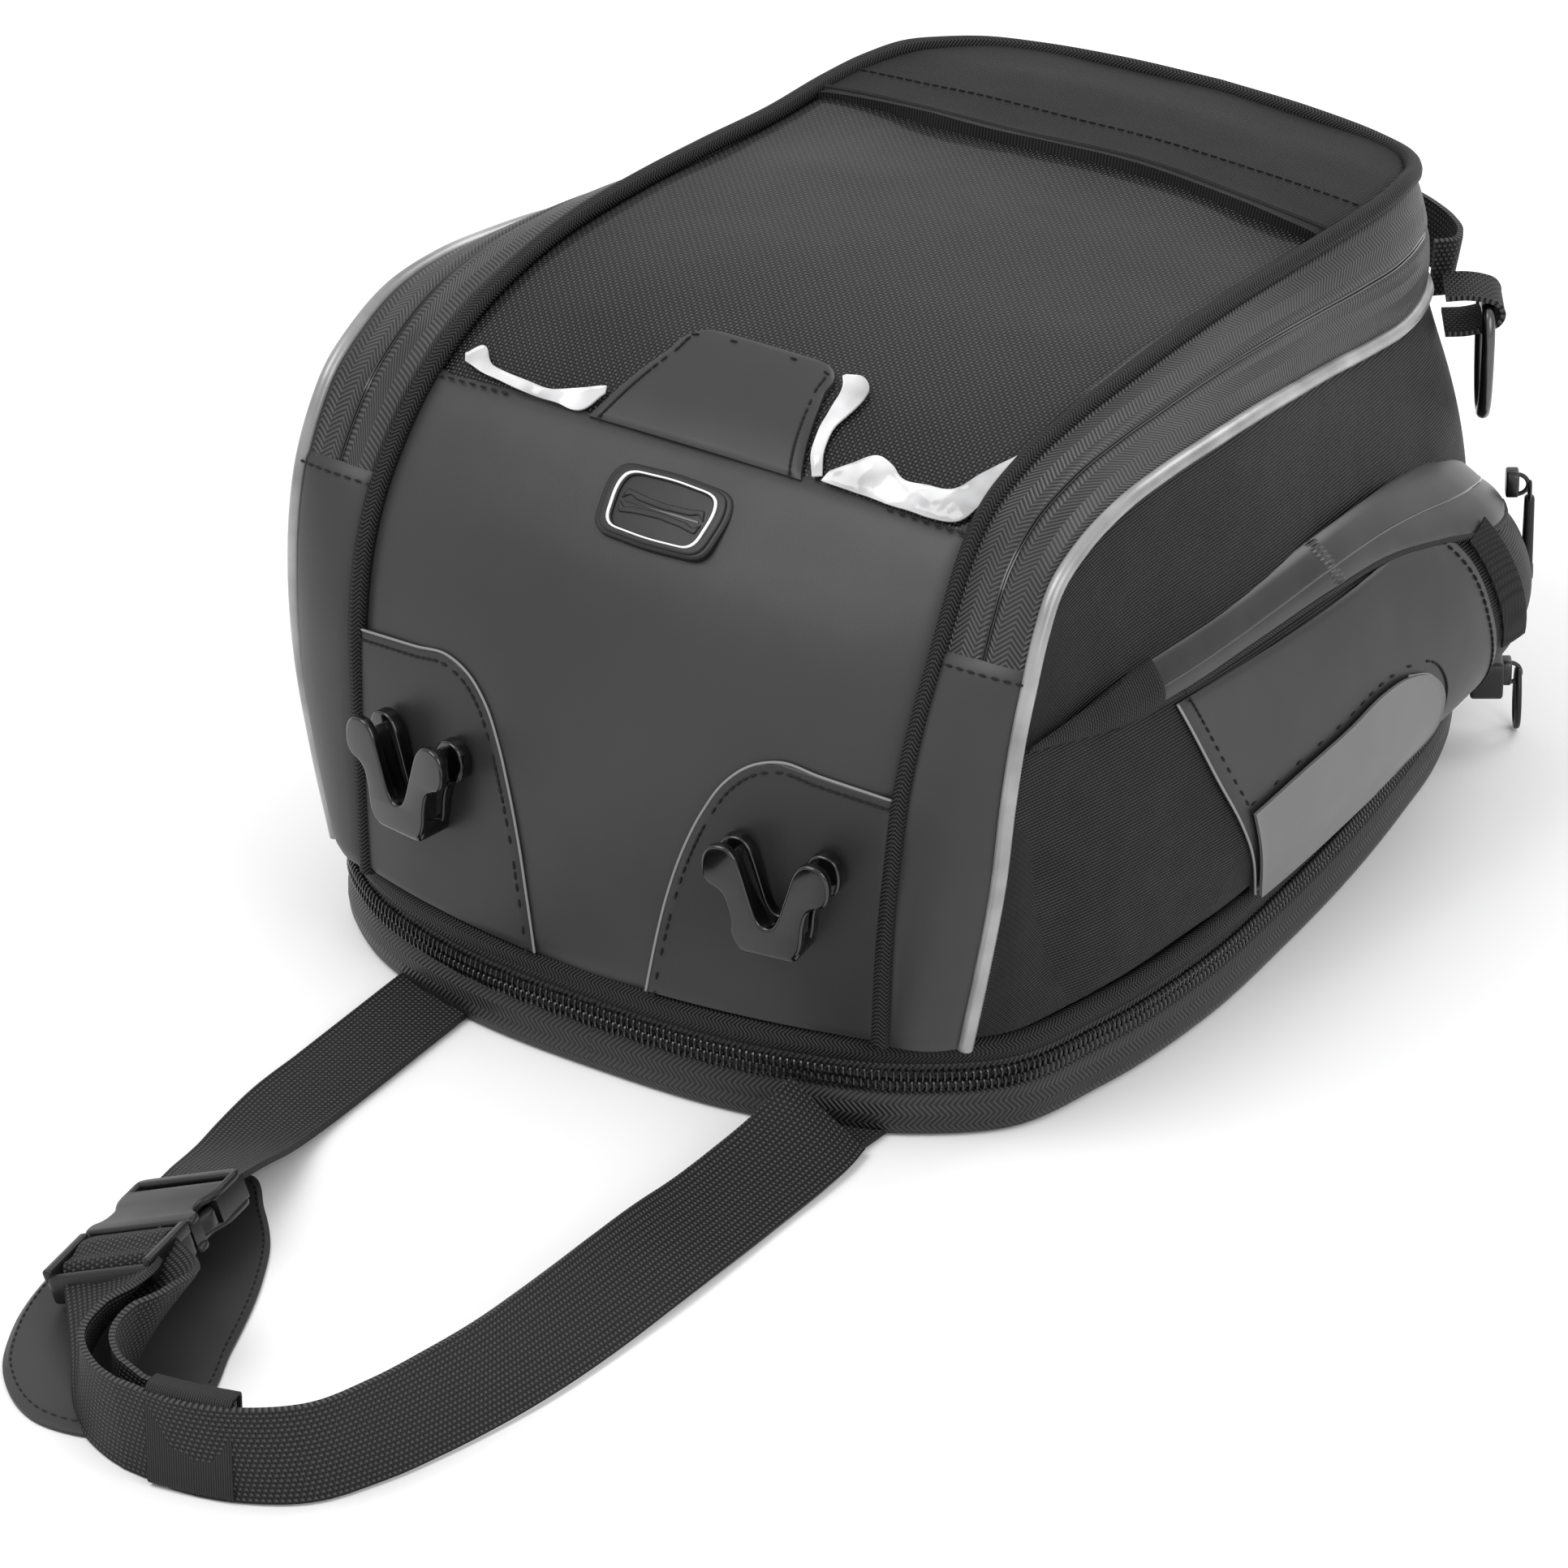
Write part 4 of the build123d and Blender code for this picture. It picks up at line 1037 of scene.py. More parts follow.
def make_lid_piping():
    """Woven piping down both front seams and round the lid, in one closed run that bends at the hinge."""
    seam = hermite(np.linspace(0, 1, ROWS_FINE), LID_SEAM, np.linspace(0, 1, 360))
    path = around(resample(seam, 330))
    cord = tube("lid_piping_cord", path, 0.0029, PIPING, sides=14)
    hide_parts("lid_piping", "front_piping")
    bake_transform(cord)


def make_reflective_piping():
    path = around(resample(SHOULDER_SEAM, 330))
    place(tube("reflective_piping_cord", path, 0.0024, REFLECTIVE, sides=12), "bag",
          ["reflective_piping"])
    flange = around(band(0, 1, 0.955, 0.985, 300, 4, 0.0009))
    place(sheet("reflective_flange", flange, 0.0012, PIPING, outward=-1, tuck=0.0004, tuck_width=0.001,
                edges="across"), "bag")


make_main_zip()
make_lid_piping()
make_reflective_piping()


# ---- lid --------------------------------------------------------------------------------------
TAB_HALF_BASE, TAB_HALF_TOP, TAB_LENGTH = 0.0375, 0.027, 0.038


def make_window():
    points = cover(T_WINDOW - 0.012, T_HEM + 0.03, 110, 96, -U_EDGE, U_EDGE)
    normals = -grid_normals(points)
    points = ripple(points, normals, 0.045, 0.0006, 11.0)
    piece = sheet("window_cover", points, WALL_T, WINDOW, outward=-1, tuck=0.0014, tuck_width=0.007,
                  inner=LINING,
                  edges="across", sink=0.0012)
    place(piece, "lid", ["lid_window", "lid_core", "lid_lining"])


def make_rear_band():
    """The ribbed band behind the window: a rolled, slightly wavy hem over a pocket mouth."""
    t_start, t_end = T_HEM, 0.9995
    turn = 1 - np.linspace(1, 0, 100) ** 1.6
    t = t_start + (t_end - t_start) * turn
    grid_t = t[:, None] * np.ones((1, 84))
    u = np.ones((100, 1)) * np.linspace(-U_EDGE, U_EDGE, 84)[None]
    points = cover_grid(grid_t, u)
    wave = 0.0022 * np.sin(5.2 * u) * np.exp(-((points[..., 1] - HEM_Y) / 0.02) ** 2)
    points[..., 1] += wave
    normals = -grid_normals(points)
    near = np.clip(1 - (points[..., 1] - HEM_Y) / 0.012, 0, 1)
    points = points + normals * (0.0004 + 0.0022 * near**2 * (1 - np.abs(u) ** 6))[..., None]
    points = ripple(points, normals, 0.05, 0.0012, 4.0)
    piece = sheet("rear_band_cover", points, 0.0045, BAND, outward=-1, tuck=0.0012, tuck_width=0.004,
                  inner=LINING,
                  edges="across")
    place(piece, "lid", ["lid_rear_band"])
    hem = points[2]
    place(tube("rear_band_hem", hem - np.array((0, 0.0002, 0.0006)), 0.0014, BAND, sides=10), "lid")
    row = points[10] + normals[10] * 0.0002
    place(stitches("hem_stitches", row, normals[10], THREAD), "lid")


def make_tab():
    """The leatherette tab that stands up from the cover's edge at the window's middle."""
    along, across = shares((0, 1, 34), (-1, 1, 60))
    t_step = TAB_LENGTH / lengths_of(LID_SEAM)[-1]
    half = TAB_HALF_BASE + (TAB_HALF_TOP - TAB_HALF_BASE) * np.clip(along / 0.72, 0, 1) ** 0.9
    corner = np.clip((along - 0.78) / 0.22, 0, 1)
    half = half - 0.010 * (1 - np.sqrt(1 - corner**2))
    x = across * half
    t = T_WINDOW - 0.004 + (t_step + 0.004) * along
    u = x / hermite(np.linspace(0, 1, ROWS_FINE), LID_SEAM, t.ravel())[:, 0].reshape(t.shape)
    points, normals = cover_at(t, u, 0.0008)
    piece = sheet("window_tab", points, 0.0014, LEATHER, outward=-1, tuck=0.0006, tuck_width=0.002)
    place(piece, "lid")
    inset = 0.90
    left = [(k, -inset) for k in np.linspace(0.02, 0.90, 24)]
    top = [(0.92, k) for k in np.linspace(-0.82, 0.82, 24)]
    edge = np.array(left + top + [(a, -b) for a, b in reversed(left)])
    rim_half = np.interp(edge[:, 0], along[:, 0], half[:, -1])
    rim_t = T_WINDOW - 0.004 + (t_step + 0.004) * edge[:, 0]
    rim_u = edge[:, 1] * rim_half / COVER_HALF
    rim, up = cover_at(rim_t, rim_u, 0.0010)
    place(stitches("tab_stitches", rim, up, THREAD), "lid")


def make_seam_stitches():
    """The stitch rows along the window's front edge, each side of the tab."""
    for side, name in ((1, "right"), (-1, "left")):
        x = np.linspace(0.068, 0.092, 20) * side
        t = np.full(20, T_WINDOW - 0.0045)
        path, up = cover_at(t, x / COVER_HALF, 0.0002)
        place(stitches(f"window_stitches_{name}", path, up, THREAD), "lid")


make_window()
make_rear_band()
make_tab()
make_seam_stitches()

# ---- base --------------------------------------------------------------------------------------
COIL_LOW, COIL_HIGH = 0.0158, 0.0218
COIL_PITCH = 0.0021


def make_base():
    path = base_path(0.0)
    band_profile = mm([(-8, 0.3), (-3.5, 0.2), (-1.4, 1.2), (-0.5, 3.4), (0, 7), (-0.1, 11), (-0.9, 14.2),
                       (-2.4, 15.6),
                       (-8, 15.6)])
    lower = profile_sweep("base_band_cover", path, band_profile, BASE_TAPE, sharp=60)
    place(lower, "bag", ["base_band"])
    tape_profile = mm([(-7, 14.6), (-2.0, 14.6), (-1.6, 16), (-1.7, 19), (-2.0, 22), (-2.5, 25.5), (-3.2, 27),
                       (-7, 27)])
    place(profile_sweep("base_tape_cover", path, tape_profile, BASE_TAPE, sharp=60), "bag",
          ["base_zip_tape"])
    piping = mm([(math.cos(a) * 2.8 - 2.6, 28.2 + math.sin(a) * 4.4) for a in np.linspace(0, 2 * math.pi,
                                                                                          17)[:-1]])
    place(profile_sweep("base_piping_cord", path, piping, PIPING, sharp=80), "bag",
          ["base_piping"])


def coil_loop():
    """One turn of the zip's coil, seen from outside: a small standing hoop, as vertices and faces."""
    turns, sides, wire = 9, 5, 0.00042
    angles = np.linspace(-0.25 * math.pi, 1.25 * math.pi, turns)
    path = np.stack([0.0004 * np.sin(angles), 0.00175 * np.cos(angles), 0.0011 * np.sin(angles)], axis=1)
    _, side, rise = frames_along(path, up=(1, 0, 0))
    ring = np.linspace(0, 2 * math.pi, sides, endpoint=False)
    vertices = (path[:, None] + wire * (side[:, None] * np.cos(ring)[None, :, None]
                                        + rise[:, None] * np.sin(ring)[None, :, None])).reshape(-1, 3)
    faces = []
    for i in range(turns - 1):
        for j in range(sides):
            k = (j + 1) % sides
            faces.append((i * sides + j, i * sides + k, (i + 1) * sides + k, (i + 1) * sides + j))
    faces.append(tuple(range(sides))[::-1])
    faces.append(tuple(range((turns - 1) * sides, turns * sides)))
    return vertices, faces


def make_coil():
    count = int(lengths_of(base_path(0.0))[-1] / COIL_PITCH)
    path = base_path(0.0012, count)
    tangents = unit(np.roll(path, -1, axis=0) - np.roll(path, 1, axis=0))
    up = np.tile((0.0, 0.0, 1.0), (count, 1))
    out = unit(np.cross(tangents, up))
    centre = (COIL_LOW + COIL_HIGH) / 2
    rows = []
    for sign in (1, -1):
        centres = path + up * (centre + sign * 0.00155) + tangents * (0.25 * COIL_PITCH * sign)
        rows.append(scatter(f"coil_row_{sign}", coil_loop(), centres, tangents, up * sign, out, COIL))
    place(joined("base_zip_chain", rows), "bag", ["base_zip_coil"])


make_base()
make_coil()


# ---- side pockets -------------------------------------------------------------------------------
PANEL_FRONT = [(-83, 118), (-77, 107), (-66, 88), (-53, 68), (-42, 49), (-35, 34.5)]
PANEL_REAR = [(66, 113), (76, 108), (84, 97), (88, 80), (94, 60), (100, 34.5)]
PATCH_TOP = [(-49, 70), (-24, 74.5), (0, 78), (18, 81.5), (34, 81), (46, 76.5), (53, 69), (56, 58),
             (57, 34.5)]
PATCH_LOW = [(-35, 34.5), (-20, 34.5), (0, 34.5), (18, 34.5), (30, 34.5), (40, 34.5), (48, 34.5), (54, 34.5),
             (56.9, 34.5)]
ZIP_LOWER = [(-150, 129.5), (-132, 126), (-112, 122.5), (-80, 120.5), (-40, 120), (0, 118.5), (39, 114),
             (75, 105), (100, 97.5), (122, 92), (142, 86.5), (154, 82.5)]


def across_pocket(low, high, rows, columns, lift):
    """A grid on the pocket between two curves of (y, z) points in millimetres."""
    a, b = smooth(mm(low), columns), smooth(mm(high), columns)
    share = np.linspace(0, 1, rows)[:, None, None]
    flat = a[None] * (1 - share) + b[None] * share
    s, v = POCKET_SKIN.find(flat[..., 0], flat[..., 1])
    return POCKET_SKIN.at(s, v, lift)


def make_pocket():
    grid = POCKET_SKIN.points[::4, ::4]
    grid = ripple(grid, -grid_normals(grid), 0.04, 0.001, 9.0)
    body = sheet("side_pocket_cover_right", grid, 0.0032, NYLON, outward=-1, tuck=0.0014, tuck_width=0.004,
                 inner=LINING)
    both(body, "side_pocket_cover", "bag", "nylon", "side_pocket")

    panel, up = across_pocket(PANEL_FRONT, PANEL_REAR, 44, 60, 0.0014)
    panel = sheet("pocket_panel_cover_right", panel, 0.0016, PANEL_LEATHER, outward=-1, tuck=0.0007,
                  tuck_width=0.0025)
    both(panel, "pocket_panel_cover", "bag", "leatherette", "pocket_panel")

    patch, _ = across_pocket(PATCH_TOP, PATCH_LOW, 40, 60, 0.0021)
    patch = sheet("pocket_patch_cover_right", patch, 0.0010, PATCH, outward=-1, tuck=0.0004,
                  tuck_width=0.0015)
    both(patch, "pocket_patch_cover", "bag", "patch_film", "pocket_patch")

    rows = []
    for low, high, lift in ((PANEL_FRONT, [(y + 4.5, z + 2.2) for y, z in PANEL_FRONT], 0.0016),
                            (PANEL_REAR, [(y - 4, z - 2) for y, z in PANEL_REAR], 0.0016),
                            (PATCH_TOP[:-1], [(y + (1.5 if y < 40 else 3.5), z + (2.5 if y < 50 else 1))
                                              for y, z in PATCH_TOP[:-1]], 0.0016)):
        line, normals = across_pocket(high, high, 2, 70, lift)
        rows.append(stitches("pocket_row", line[0], normals[0], THREAD))
    both(joined("pocket_stitches_right", rows), "pocket_stitches", "bag", "leatherette")
    edges = []
    for line in (PANEL_FRONT, PATCH_TOP[4:-1]):
        path, _ = across_pocket(line, line, 2, 80, 0.0012 if line is PANEL_FRONT else 0.0019)
        edges.append(tube("pocket_edge", path[0], 0.00042, EDGE, sides=6))
    both(joined("pocket_edges_right", edges), "pocket_edges", "bag", "leatherette")


def make_pocket_zip():
    """The coated zip along the pocket's top, with its middle line and the cloth tab over its front end."""
    columns, rows = 150, 15
    low = smooth(mm(ZIP_LOWER), columns)
    s, v = POCKET_SKIN.find(low[:, 0], low[:, 1])
    v_grid = v[None] * (1 - np.linspace(0, 1.06, rows)[:, None])
    s_grid = np.tile(s, (rows, 1))
    share = np.linspace(0, 1, rows)[:, None]
    grown = np.clip(np.arange(columns) / 30, 0, 1)[None]
    lift = 0.0006 + (0.0010 + 0.0012 * np.sin(math.pi * share)) * grown
    points, normals = POCKET_SKIN.at(s_grid, np.clip(v_grid, 0, 1), lift)
    wall_side = np.clip(share - 0.55, 0, 1) / 0.45 * grown
    points = points + np.stack([-0.0045 * wall_side**1.5, 0 * wall_side, 0.0050 * wall_side], axis=-1)
    strip = sheet("pocket_zip_cover_right", points, 0.0014, COATED, outward=-1, tuck=0.0005,
                  tuck_width=0.0015)
    both(strip, "pocket_zip_cover", "bag", "zip_tape", "pocket_zip")
    middle = points[8, 24:]
    both(tube("pocket_zip_line_right", middle, 0.00035, COIL, sides=6), "pocket_zip_line", "bag", "zip_coil")
    end = points[:, :30] - grid_normals(points)[:, :30] * 0.0012
    both(sheet("pocket_zip_end_right", end, 0.0012, NYLON, outward=-1, tuck=0.0005, tuck_width=0.0015),
         "pocket_zip_end", "bag", "nylon")
    cord, _ = across_pocket(ZIP_LOWER[2:-1], ZIP_LOWER[2:-1], 2, 110, 0.0008)
    both(tube("pocket_zip_cord_right", cord[0], 0.0011, PIPING, sides=8), "pocket_zip_cord", "bag", "nylon")


make_pocket()
make_pocket_zip()


# ---- front hardware -----------------------------------------------------------------------------
def on_front(x, z, lift=0.0):
    """Points of the front cover at x and z."""
    t = np.interp(z, LID_SEAM[:180, 2], np.linspace(0, 179 / (ROWS_FINE - 1), 180))
    return cover_at(t, x / np.interp(t, np.linspace(0, 1, ROWS_FINE), LID_SEAM[:, 0]), lift)


def on_top(x, y, lift=0.0):
    """Points of the lid's top at x and y."""
    first = int(T_WINDOW * ROWS_FINE) - 20
    t = np.interp(y, LID_SEAM[first:, 1], np.linspace(first / (ROWS_FINE - 1), 1, ROWS_FINE - first))
    return cover_at(t, x / np.interp(t, np.linspace(0, 1, ROWS_FINE), LID_SEAM[:, 0]), lift)


HOOK_PATCH_INNER = [(20, 33.5), (23, 50), (26.6, 66.7), (31.5, 83), (36.5, 95), (42.5, 105), (50, 111.5),
                    (59, 114.5)]
HOOK_PATCH_TOP = [(59, 114.5), (72, 113.2), (84, 112), (94.3, 110.8)]


def make_hook_patches():
    inner = smooth(mm(HOOK_PATCH_INNER), 60)
    rows, columns = 60, 36
    share = np.linspace(0, 1, columns)[None]
    x = inner[:, :1] * (1 - share) + 0.0945 * share
    corner_drop = (HOOK_PATCH_TOP[-1][1] - HOOK_PATCH_TOP[0][1]) * MM
    z = inner[:, 1:] + (np.linspace(0, 1, rows)[:, None] ** 3) * corner_drop * share
    points, _ = on_front(x, z, 0.0013)
    patch = sheet("hook_patch_cover_right", points, 0.0014, PANEL_LEATHER, outward=-1, tuck=0.0005,
                  tuck_width=0.0018)
    other = flipped(patch, "hook_patch_cover_left")
    place(patch, "bag", ["hook_patches"])
    place(other, "bag", ["hook_patches"])
    seam = smooth(mm([(x, z) for x, z in HOOK_PATCH_INNER + HOOK_PATCH_TOP[1:]]), 140)
    inset = seam + unit(np.gradient(seam, axis=0))[:, ::-1] * (0.0028, -0.0028)
    path, up = on_front(inset[:, 0], inset[:, 1], 0.0015)
    both(stitches("hook_patch_stitches_right", path, up, THREAD), "hook_patch_stitches", "bag", "leatherette")
    rim, _ = on_front(seam[:, 0], seam[:, 1], 0.0009)
    both(tube("hook_patch_edge_right", rim, 0.0004, EDGE, sides=6), "hook_patch_edge", "bag", "leatherette")


HOOK_FRONT = [(8.5, 0.5), (11.2, 5), (11.6, 12), (13.4, 18.5), (19.5, 20.5), (20.5, 27), (18.5, 32.5),
              (12.5, 33.5),
              (9.0, 30), (6.5, 22), (3.6, 12.5), (1.6, 9.5)]
HOOK_CORE = [(7.0, 1.5), (9.2, 6), (9.6, 12), (11, 20), (13.8, 28), (11.5, 30.5), (9.2, 24), (5.0, 11),
             (2.0, 7.5)]
HOOK_TURN = math.radians(9)


def make_hooks():
    out = (math.sin(HOOK_TURN), -math.cos(HOOK_TURN), -0.03)
    axes = facing((0.0645, -0.1795, 0.0615), out)
    front = slab("hook_front", [soften(scaled(both_sides(HOOK_FRONT)), 0.0035, 5)], 0.0072, 0.0104, axes,
                 HOOK, 0.0009,
                 3)
    core = slab("hook_core", [soften(scaled(both_sides(HOOK_CORE)), 0.003, 5)], -0.0035, 0.0080, axes, HOOK,
                0.0006)
    back = slab("hook_back", [soften(scaled(both_sides(HOOK_FRONT), 0.00096), 0.0035, 5)], -0.0030, 0.0014,
                axes, HOOK,
                0.0007)
    foot = slab("hook_foot", [soften(scaled([(-9.4, -0.6), (9.4, -0.6), (10.6, 4.5), (6, 7.6), (-6, 7.6),
                                             (-10.6, 4.5)]),
                                     0.003, 5)], -0.0025, 0.0098, axes, HOOK, 0.0016, 4)
    hook = joined("cargo_hook_body_right", [front, core, back, foot])
    both(hook, "cargo_hook_body", "bag", "hook_plastic", "cargo_hook")


PORT_CENTRE, PORT_NORMAL = (0, -0.1459, 0.1661), Vector((0, -0.684, 0.729))


def make_port():
    axes = basis(PORT_CENTRE, (1, 0, 0), PORT_NORMAL)
    outline = [(-19.5, 11.5), (0, 12.6), (19.5, 11.5), (22.2, 5), (19.8, -11), (0, -12), (-19.8, -11),
               (-22.2, 5)]
    plate = slab("port_plate", [soften(scaled(outline[::-1]), 0.0055, 5)], -0.002, 0.0022, axes, RUBBER,
                 0.0009, 3)
    rim = slab("port_rim", [soften(scaled(outline[::-1], 0.00092), 0.005, 5),
                            soften(scaled(outline[::-1], 0.00073), 0.004, 5)],
               0.0015, 0.0030, axes, RUBBER, 0.0005)
    lips = []
    for sign in (1, -1):
        half = [(-14.5, 0.25), (-12, 2.2), (-9.5, 1.1), (0, 0.55), (9.5, 1.1), (12, 2.2), (14.5, 0.25),
                (13.5, 3.9),
                (8, 3.0), (0, 2.5), (-8, 3.0), (-13.5, 3.9)]
        lips.append(slab("port_lip", [soften([(x, y * sign) for x, y in scaled(half)], 0.0008, 3)], 0.0015,
                         0.0027, axes,
                         RUBBER, 0.0004))
    place(joined("cable_port_body", [plate, rim, *lips]), "lid", ["cable_port"])
    line = slab("cable_port_line", [soften(scaled(outline[::-1], 0.00080), 0.0045, 6),
                                    soften(scaled(outline[::-1], 0.00076), 0.0042, 6)], 0.0024, 0.0034, axes,
                                    WHITE_INK,
                0.0001, 1)
    place(line, "lid")
    slit = slab("cable_port_slit", [scaled([(-13, -0.35), (13, -0.35), (13, 0.35), (-13, 0.35)])], 0.0018,
                0.0024, axes,
                COIL, 0.0001, 1)
    place(slit, "lid")


# Painted reflection: glare of the lamps on the window's clear vinyl, laid as fixed light pieces along its
# front edge: upper and lower edge, mm.
GLARES = {
    "window_glare_left": ([(-88, -123), (-84, -119.5), (-77, -124), (-66, -125.5), (-52, -126), (-42, -123),
                           (-37, -121.5)],
                          [(-86.5, -125), (-80, -126.5), (-74, -127.3), (-62, -128.6), (-50, -129),
                           (-40, -128.6),
                           (-36, -123.5)]),
    "window_glare_middle": ([(28.5, -95), (33, -94), (38.5, -97.5), (39.5, -105), (38, -113), (39.5, -121),
                             (43.5, -127.5)],
                            [(28, -96), (30.5, -99.5), (32, -104), (33, -110), (34.4, -117), (36.4, -123),
                             (40.5, -128.3)]),
    "window_glare_right": ([(45, -126), (50, -122.5), (56, -118), (62, -119.5), (67, -122), (75, -121.5),
                            (83, -120.5),
                            (88, -113), (95, -100)],
                           [(44, -128.6), (50, -128.8), (58, -128.8), (66, -129), (74, -129), (82, -129),
                            (90, -127.5),
                            (94.5, -116), (95.4, -101)]),
}


def make_glares():
    # Each glare piece is a painted reflection: a light sheet on the lid that stays the same under any lamp or
    # view.
    for name, (upper, lower) in GLARES.items():
        a, b = smooth(mm(upper), 60), smooth(mm(lower), 60)
        share = np.linspace(0, 1, 12)[:, None, None]
        flat = a[None] * (1 - share) + b[None] * share
        points, normals = on_top(flat[..., 0], flat[..., 1], -0.0002)
        points = ripple(points, normals, 0.007, 0.0006, 2.0)
        place(sheet(name, points[::-1], 0.0006, GLARE_PAINT, outward=1, tuck=0.0003, tuck_width=0.001), "lid")


make_hook_patches()
make_hooks()
make_port()
make_glares()


# ---- front strap ----------------------------------------------------------------------------------
WEB_W, WEB_T = 0.030, 0.0018


def ribbon(name, stations, width, material, thickness=WEB_T, count=160, wave=0.0006, seed=0.0, outward=1):
    """Webbing from stations of one edge's x, y, z in millimetres and the other edge's lean in degrees."""
    table = np.array(stations, float)
    table[:, :3] *= MM
    knots = knots_of(table[:, :3])
    rows = hermite(knots, table, np.linspace(0, 1, count * 4))
    rows = resample(rows, count)
    edge, lean = rows[:, :3], np.radians(rows[:, 3])
    ahead = np.gradient(edge, axis=0)
    turn = np.arctan2(ahead[:, 1], ahead[:, 0])
    across = np.stack([np.sin(turn) * np.cos(lean), -np.cos(turn) * np.cos(lean), np.sin(lean)], axis=1)
    w = np.linspace(0, width, 14)
    points = edge[:, None] + across[:, None] * w[None, :, None]
    normals = grid_normals(points)
    points = ripple(points, normals, 0.05, wave, seed)
    return sheet(name, points, thickness, material, outward=outward, tuck=0.0003, tuck_width=0.0012,
                 edges="across",
                 held="laid")


STRAP_RIGHT = [(92.5, -179.5, 0.8, 40), (94.5, -188, 0.8, 37), (96, -202, 0.8, 30), (97, -224, 0.8, 25),
               (98, -246, 0.8, 27), (98.6, -268, 0.8, 36), (99, -290, 0.8, 45), (99, -312, 0.8, 54),
               (98, -334, 0.8, 62), (95.6, -356, 0.8, 70), (91.6, -378, 0.8, 76), (86, -399, 0.8, 82),
               (77, -418, 0.8, 88), (58.4, -429.6, 0.8, 94), (36.8, -433.5, 0.8, 96), (18, -430.5, 0.8, 95),
               (4, -424, 1.4, 87), (-6, -414.5, 2.8, 72), (-14.5, -405, 5.0, 52), (-24.5, -394.5, 8.0, 34),
               (-36, -383, 10.2, 21)]
STRAP_TAIL = [(60, -426.4, 2.2, 93), (40, -430, 2.2, 94), (23, -426.5, 2.4, 94), (12, -419, 3.0, 90),
              (5, -409, 4.2, 80), (1, -399, 5.6, 66), (-6, -391, 7.2, 46), (-18, -386, 8.8, 32),
              (-32, -381, 9.6, 22)]
STRAP_LEFT = [(-51, -150, 0.6, 0), (-49.5, -176, 0.6, 0), (-47.5, -200, 0.6, 0), (-44.5, -225, 0.7, 0),
              (-42.2, -250, 1.0, 0), (-39, -268, 3.4, -5), (-34, -284, 8, -10), (-28.5, -302, 14, -15),
              (-24, -318, 18.6, -19),
              (-22.5, -330, 20.4, -20)]


def make_straps():
    front = ribbon("strap_right_webbing", STRAP_RIGHT, WEB_W, WEBBING, count=300, seed=2.0)
    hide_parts("strap_right", "strap_front")
    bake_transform(front)
    tail = ribbon("strap_tail_webbing", STRAP_TAIL, WEB_W * 0.97, WEBBING, count=110, seed=4.0)
    place(tail, "buckle_plug")
    left = ribbon("strap_left_webbing", STRAP_LEFT, WEB_W, WEBBING, count=170, seed=6.0)
    place(left, "bag", ["strap_left"])
    fold = ribbon("strap_fold_webbing", [(92, -150, 0.6, 0), (92, -166, 0.6, 1), (92, -176, 0.7, 6),
                                         (92, -182.5, 0.8, 16)], WEB_W * 0.98, WEBBING, count=40, seed=8.0)
    place(fold, "bag")
    keeper = []
    path = smooth(mm([(60, -427.9, 0), (48, -431.2, 0), (35.5, -433.4, 0)]), 26)
    tangents = unit(np.gradient(path, axis=0))
    side = unit(np.cross(tangents, (0, 0, 1.0)))
    ring = np.array(rounded(0.0086, 0.0318, 0.0024, 4, (0.0, 0.0164)))
    ring = np.concatenate([ring, ring[:1]])
    for place_on, (cut, face) in zip(path, zip(tangents, side)):
        keeper.append(place_on + face * ring[:, :1] + np.array((0, 0, 1.0)) * ring[:, 1:])
    band_piece = strip_mesh("strap_keeper_band", np.array(keeper), lengths_of(path), lengths_of(ring), KEEPER,
                            caps=False)
    thicken = band_piece.modifiers.new("thickness", "SOLIDIFY")
    thicken.thickness, thicken.offset = 0.0009, -1
    place(band_piece, "buckle_plug", ["strap_keeper"])


PAD_OUTLINE = [(-44, -291), (-28, -304), (-15, -318), (-5, -334), (12, -370), (23, -399), (14, -424),
               (-8, -430),
               (-32, -416), (-44, -398), (-56, -362), (-58, -325), (-52, -300)]


def make_pad():
    outline = loop(np.array([(x * MM, y * MM, 0) for x, y in PAD_OUTLINE]), 160)
    centre = outline.mean(axis=0)
    share = np.linspace(0, 1, 26)
    rings = centre + (outline[None] - centre) * share[:, None, None]
    top = 0.0021 - 0.0012 * np.clip((share - 0.965) / 0.035, 0, 1) ** 2
    swell = 0.0005 * np.sin(rings[..., 0] * 70) * np.cos(rings[..., 1] * 45)
    rings = rings + np.array((0, 0, 1.0)) * (top[:, None] + swell * (1 - share[:, None]) + 0.0004)[..., None]
    under = rings.copy()
    under[..., 2] = 0.0004
    flat = wrapped(np.concatenate([wrapped(rings), wrapped(under)[::-1]]).transpose(1, 0, 2))
    rows, columns = flat.shape[:2]
    index = np.arange(rows * columns).reshape(rows, columns)
    quads = np.stack([index[:-1, :-1], index[:-1, 1:], index[1:, 1:], index[1:, :-1]], axis=-1).reshape(-1, 4)
    vertices = flat.reshape(-1, 3)
    pad = link("buckle_pad_cover", vertices, quads.tolist(), vertices[:, :2], PAD_LEATHER)
    weld(pad)
    place(pad, "bag", ["buckle_pad"])
    inset = centre + (outline - centre) * 0.945
    row = np.concatenate([inset, inset[:1]]) + np.array((0, 0, 0.0024))
    place(stitches("pad_stitches", row, np.tile((0.0, 0.0, 1.0), (len(row), 1)), THREAD), "bag")


BUCKLE_CENTRE = Vector((-0.0305, -0.353, 0.0146))
BUCKLE_ACROSS, BUCKLE_UP = Vector((0.921, 0.182, 0.342)), Vector((-0.335, -0.066, 0.940))


